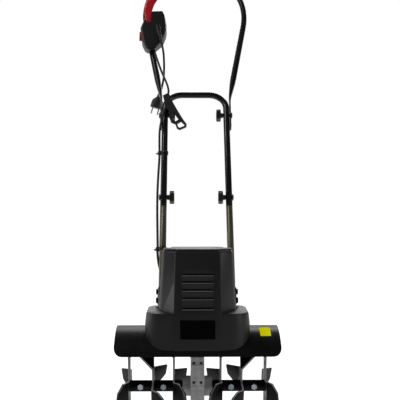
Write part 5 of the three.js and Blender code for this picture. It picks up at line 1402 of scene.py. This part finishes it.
boxFoot = {
    "low": 799.0,
    "start": 868.0,
    "lift": 8.0,
    "rake": 0.5,
    "front": 28.0,
    "lean": math.tan(hoop["splay"]),
    "shallow": 12.0,
    "keep": 0.35,
}
guardHem = {"low": 0.1395, "lifted": 0.1482, "top": 0.175, "behind": -0.25}


def rakedBoxFoot(point):
    # The box's foot slants up to the rear, sliding along the hoop's leg
    across, along, front = handlePlace(point)
    if along > boxFoot["start"]:
        return point
    share = (boxFoot["start"] - along) / (boxFoot["start"] - boxFoot["low"])
    shallow = boxFoot["shallow"]
    if front < -shallow:
        front = -shallow + (front + shallow) * (1 - (1 - boxFoot["keep"]) * share)
    rise = (boxFoot["lift"] + (boxFoot["front"] - front) * boxFoot["rake"]) * share
    return handlePoint(across - rise * boxFoot["lean"], along + rise, front)


def liftedGuardHem(point):
    # The guard's rear edge ends level with its front edge, as the camera sees them
    top = guardHem["top"]
    if point[1] < guardHem["behind"] or point[2] > top:
        return point
    share = (top - point[2]) / (top - guardHem["low"])
    return Vector((point[0], point[1], top - share * (top - guardHem["lifted"])))


reshaped = {
    "switch_box_front": rakedBoxFoot,
    "switch_box_rear": rakedBoxFoot,
    "tine_guard": liftedGuardHem,
}


# Copies of CAD nodes with merged points, eased edges and smooth shading

easing = {"merge": 8e-6, "flat": 0.6, "segments": 2, "angle": 32, "smooth": 36, "weight": 90}


def evenShading(obj):
    # Large flat faces keep their own normals, so that only the eased edges shade round
    mod = obj.modifiers.new("evenShading", "WEIGHTED_NORMAL")
    mod.mode = "FACE_AREA"
    mod.weight = easing["weight"]
    mod.keep_sharp = True
    applyModifiers(obj)


def dressed(node, finish, slotName, width):
    first, *rest = node.split("_")
    name = first + "".join(word.capitalize() for word in rest) + "Dressed"
    obj = linked(name, frame["nodes"][node].data.copy())
    if node in reshaped:
        for vertex in obj.data.vertices:
            vertex.co = reshaped[node](vertex.co)
    work = bmesh.new()
    work.from_mesh(obj.data)
    bmesh.ops.remove_doubles(work, verts=work.verts, dist=easing["merge"])
    flat = math.radians(easing["flat"])
    bmesh.ops.dissolve_limit(
        work, angle_limit=flat, verts=work.verts, edges=work.edges, use_dissolve_boundaries=False,
    )
    work.to_mesh(obj.data)
    work.free()
    attributes = obj.data.attributes
    for left in [a.name for a in attributes if a.name in ("custom_normal", "sharp_edge")]:
        attributes.remove(attributes[left])
    eased(obj, width, easing["segments"], easing["angle"])
    smoothByAngle(obj, easing["smooth"])
    evenShading(obj)
    finishPiece(obj, bodyOfNode(node), finish, slotName, node)


# Finish, slot and width of the eased edges, then the nodes that have them
dressing = [
    ("housingPlastic", "housing_plastic", 0.0009, ["housing_front"]),
    ("housingPlastic", "housing_plastic", 0.0007, ["housing_rear"]),
    ("badgeGloss", "badge_gloss", 0.0005, ["badge_plate"]),
    ("guardPaint", "guard_paint", 0.0005, ["tine_guard", "base_plate"]),
    ("tubePaint", "tube_paint", 0.0004, ["tube_clamp_left", "tube_clamp_right"]),
    ("boxPlastic", "black_plastic", 0.0008, ["switch_box_front", "switch_box_rear"]),
    ("redGloss", "red_plastic", 0.0009, ["lock_button"]),
    ("knobPlastic", "black_plastic", 0.0006, ["cable_hook"]),
    ("knobPlastic", "black_plastic", 0.0004, ["cable_clip_upper", "cable_clip_lower"]),
    ("castMetal", "cast_metal", 0.0006, ["gearcase_left", "gearcase_right", "gear_neck"]),
    ("softRubber", "rubber", 0.0003, ["shaft_seal_left", "shaft_seal_right"]),
    ("turnedSteel", "steel", 0.0004, ["tine_shaft"]),
    # The tine bolts take the near-white zinc with its painted sheen
    ("brightBolt", "zinc", 0.0004, ["tine_bolt_inner_left", "tine_bolt_inner_right"]),
    ("brightBolt", "zinc", 0.0004, ["tine_bolt_outer_left", "tine_bolt_outer_right"]),
    ("guardPaint", "guard_paint", 0.0005, ["stake_bracket"]),
    ("turnedSteel", "steel", 0.0004, ["drag_stake"]),
    ("knobPlastic", "black_plastic", 0.0006, ["stake_knob"]),
]

# Inner working parts keep their CAD meshes
inside = {
    "shaft_bearing_left": "turnedSteel",
    "shaft_bearing_right": "turnedSteel",
    "worm_bearing_lower": "turnedSteel",
    "worm_bearing_upper": "turnedSteel",
    "top_bearing": "turnedSteel",
    "worm_wheel": "bronzeGear",
    "worm_shaft": "turnedSteel",
    "motor_can": "guardPaint",
    "stator": "turnedSteel",
    "armature": "copperWinding",
    "cooling_fan": "knobPlastic",
    "end_bracket": "castMetal",
    "switch": "badgeGloss",
}


for finish, slotName, width, nodes in dressing:
    for node in nodes:
        dressed(node, finish, slotName, width)

for node, finish in inside.items():
    obj = frame["nodes"][node]
    if not obj.material_slots:
        obj.data.materials.append(material[finish])
    for held in obj.material_slots:
        held.material = material[finish]
print("stage: dressed nodes")


# Pieces repeated on points by Geometry Nodes

def repeated(name, points, tree, body, slotName, smooth, facing=None, **sizes):
    # The sizes are the tree's named inputs. Where a facing is given, the points carry it
    obj = meshObject(name, points, [])
    if facing:
        for entry in obj.data.attributes.new("facing", "FLOAT_VECTOR", "POINT").data:
            entry.vector = facing
    mod = obj.modifiers.new("repeats", "NODES")
    mod.node_group = tree
    for item in tree.interface.items_tree:
        if item.in_out == "INPUT" and item.name in sizes:
            mod[item.identifier] = sizes[item.name]
    applyModifiers(obj)
    smoothByAngle(obj, smooth)
    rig.ride(obj, body)
    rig.slot(obj, slotName)


def painted(add, shape, finish):
    return add("GeometryNodeSetMaterial", in_Geometry=shape, in_Material=material[finish])


# Painted highlights on the louvre ledges: pale beads up the leaning panel stand in for the light that their edges
# catch

ledge = {
    "heights": (0.386, 0.368, 0.3495, 0.330, 0.3065),
    "drop": 0.0007,
    "footZ": 0.291,
    "footY": -0.3545,
    "lean": (0.107 - 0.075) / (0.449 - 0.291),
    "proud": 0.0002,
    "halfLength": 0.0378,
    "radius": 0.0013,
    "sides": 12,
}


def makeLedgeHighlightTree():
    inputs = ("Geometry", "Length", "Radius")
    tree, add, given = startGroup("ledgeHighlightBeads", "GeometryNodeTree", inputs, ("Geometry",))
    left = add("ShaderNodeCombineXYZ", in_X=mathNode(add, "MULTIPLY", given["Length"], -0.5))
    right = add("ShaderNodeCombineXYZ", in_X=mathNode(add, "MULTIPLY", given["Length"], 0.5))
    line = add("GeometryNodeCurvePrimitiveLine", in_Start=left, in_End=right)
    ring = add("GeometryNodeCurvePrimitiveCircle", in_Resolution=ledge["sides"], in_Radius=given["Radius"])
    bead = add("GeometryNodeCurveToMesh", in_Curve=line, in_Profile_Curve=ring, in_Fill_Caps=True)
    copies = add("GeometryNodeInstanceOnPoints", in_Points=given["Geometry"], in_Instance=bead)
    real = add("GeometryNodeRealizeInstances", in_Geometry=copies)
    # The beads are a painted highlight, in the pale ledge finish
    add("NodeGroupOutput", in_Geometry=painted(add, real, "ledgeHighlightPaint"))
    return tree


def ledgePoint(z):
    low = z - ledge["drop"]
    return Vector((0, ledge["footY"] + (low - ledge["footZ"]) * ledge["lean"] - ledge["proud"], low))


repeated(
    "louvreLedgeHighlights", [ledgePoint(z) for z in ledge["heights"]], makeLedgeHighlightTree(), "chassis", "housing_plastic",
    40, Length=2 * ledge["halfLength"], Radius=ledge["radius"],
)
print("stage: louvre ledges")


# Recessed screw heads, on points that carry the way they face. Each hex socket is painted shade: a thin near-black
# hexagon on the head, not a hole

screw = {
    "sides": 28,
    "rimShare": 0.82,
    "socketSides": 6,
    "socketShare": 0.52,
    "socketRise": 0.00004,
    "groups": {
        "caseScrews": {
            "body": "chassis",
            "slot": "cast_metal",
            "radius": 0.0036,
            "height": 0.0014,
            "facing": (0, -1, 0),
            "places": [(side * 0.0088, -0.2997, z) for z in (0.169, 0.1221) for side in (-1, 1)],
        },
        "towerScrews": {
            "body": "chassis",
            "slot": "housing_plastic",
            "radius": 0.0036,
            "height": 0.0012,
            "facing": (0, 1, 0),
            "places": [(side * 0.049, -0.2145, z) for z in (0.312, 0.425) for side in (-1, 1)],
        },
        "boxScrews": {
            "body": "handle",
            "slot": "black_plastic",
            "radius": 0.0031,
            "height": 0.0012,
            "facing": tuple(-handleNormal),
            "places": [handlePoint(a, s, -22) for a, s in ((-120, 874), (-118, 940), (-150, 905))],
        },
    },
}


def makeScrewTree():
    inputs = ("Geometry", "Radius", "Height")
    tree, add, given = startGroup("screwHeads", "GeometryNodeTree", inputs, ("Geometry",))
    radius = given["Radius"]
    head = add(
        "GeometryNodeMeshCone", in_Vertices=screw["sides"], in_Radius_Bottom=radius,
        in_Radius_Top=mathNode(add, "MULTIPLY", radius, screw["rimShare"]), in_Depth=given["Height"],
    )
    # Painted shade: a thin near-black hexagon laid on the head stands in for the shade inside the socket
    hole = add(
        "GeometryNodeMeshCylinder", in_Vertices=screw["socketSides"], in_Depth=2 * screw["socketRise"],
        in_Radius=mathNode(add, "MULTIPLY", radius, screw["socketShare"]),
    )
    rise = add("ShaderNodeCombineXYZ", in_Z=given["Height"])
    lifted = add("GeometryNodeTransform", in_Geometry=hole, in_Translation=rise)
    shapes = [painted(add, head, "screwSteel"), painted(add, lifted, "socketPaintedShade")]
    whole = add("GeometryNodeJoinGeometry", in_Geometry=shapes)
    facing = add("GeometryNodeInputNamedAttribute", data_type="FLOAT_VECTOR", in_Name="facing")
    turn = add("FunctionNodeAlignRotationToVector", axis="Z", in_Vector=facing.outputs["Attribute"])
    copies = add(
        "GeometryNodeInstanceOnPoints", in_Points=given["Geometry"], in_Instance=whole, in_Rotation=turn,
    )
    add("NodeGroupOutput", in_Geometry=add("GeometryNodeRealizeInstances", in_Geometry=copies))
    return tree


screwTree = makeScrewTree()
for name, group in screw["groups"].items():
    repeated(
        name, group["places"], screwTree, group["body"], group["slot"], 30, group["facing"],
        Radius=group["radius"], Height=group["height"],
    )
print("stage: screws")


# Plain yellow patch on the right end of the guard

patch = {
    "across": (152.5, 178.5),
    "angles": (63.6, 81.0),
    "radius": 150.0,
    "seat": 0.02,
    "lift": 0.35,
    "corner": 2.0,
    "rows": 14,
}


def patchRow(row, radius):
    # Both ends of a row across the patch. Rows near the first and last are shorter, for rounded corners
    x0, x1 = patch["across"]
    a0, a1 = patch["angles"]
    corner = patch["corner"]
    rows = patch["rows"]
    a = math.radians(a0 + (a1 - a0) * row / rows)
    edge = min(row, rows - row) * (a1 - a0) / rows * math.pi / 180 * patch["radius"]
    inset = corner - math.sqrt(max(0.0, corner ** 2 - max(0.0, corner - edge) ** 2))
    y = axle["y"] - radius * math.cos(a)
    z = axle["z"] + radius * math.sin(a)
    return [(x / 1000, y, z) for x in (x0 + inset, x1 - inset)]


def makePatch():
    rows = patch["rows"]
    r = patch["radius"] / 1000
    layers = (r + patch["seat"] / 1000, r + patch["lift"] / 1000)
    verts = [point for radius in layers for k in range(rows + 1) for point in patchRow(k, radius)]
    per = 2 * (rows + 1)
    faces = []
    for b in range(0, 2 * rows, 2):
        faces.append((b, b + 1, b + 3, b + 2))
        faces.append((per + b + 2, per + b + 3, per + b + 1, per + b))
        faces.append((b, b + 2, per + b + 2, per + b))
        faces.append((b + 3, b + 1, per + b + 1, per + b + 3))
    top = 2 * rows
    faces += [(1, 0, per, per + 1), (top, top + 1, per + top + 1, per + top)]
    obj = withFixedNormals(meshObject("guardPatchYellow", verts, faces))
    finishPiece(obj, "chassis", "yellowPatch", "guard_paint", smooth=40)


makePatch()
print("stage: patch")

lowest, highest = cadBox
modelLow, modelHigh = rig.bounds()
with open("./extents.json", "w") as sizeFile:
    json.dump({"cad": [list(lowest), list(highest)], "model": [list(modelLow), list(modelHigh)]}, sizeFile)
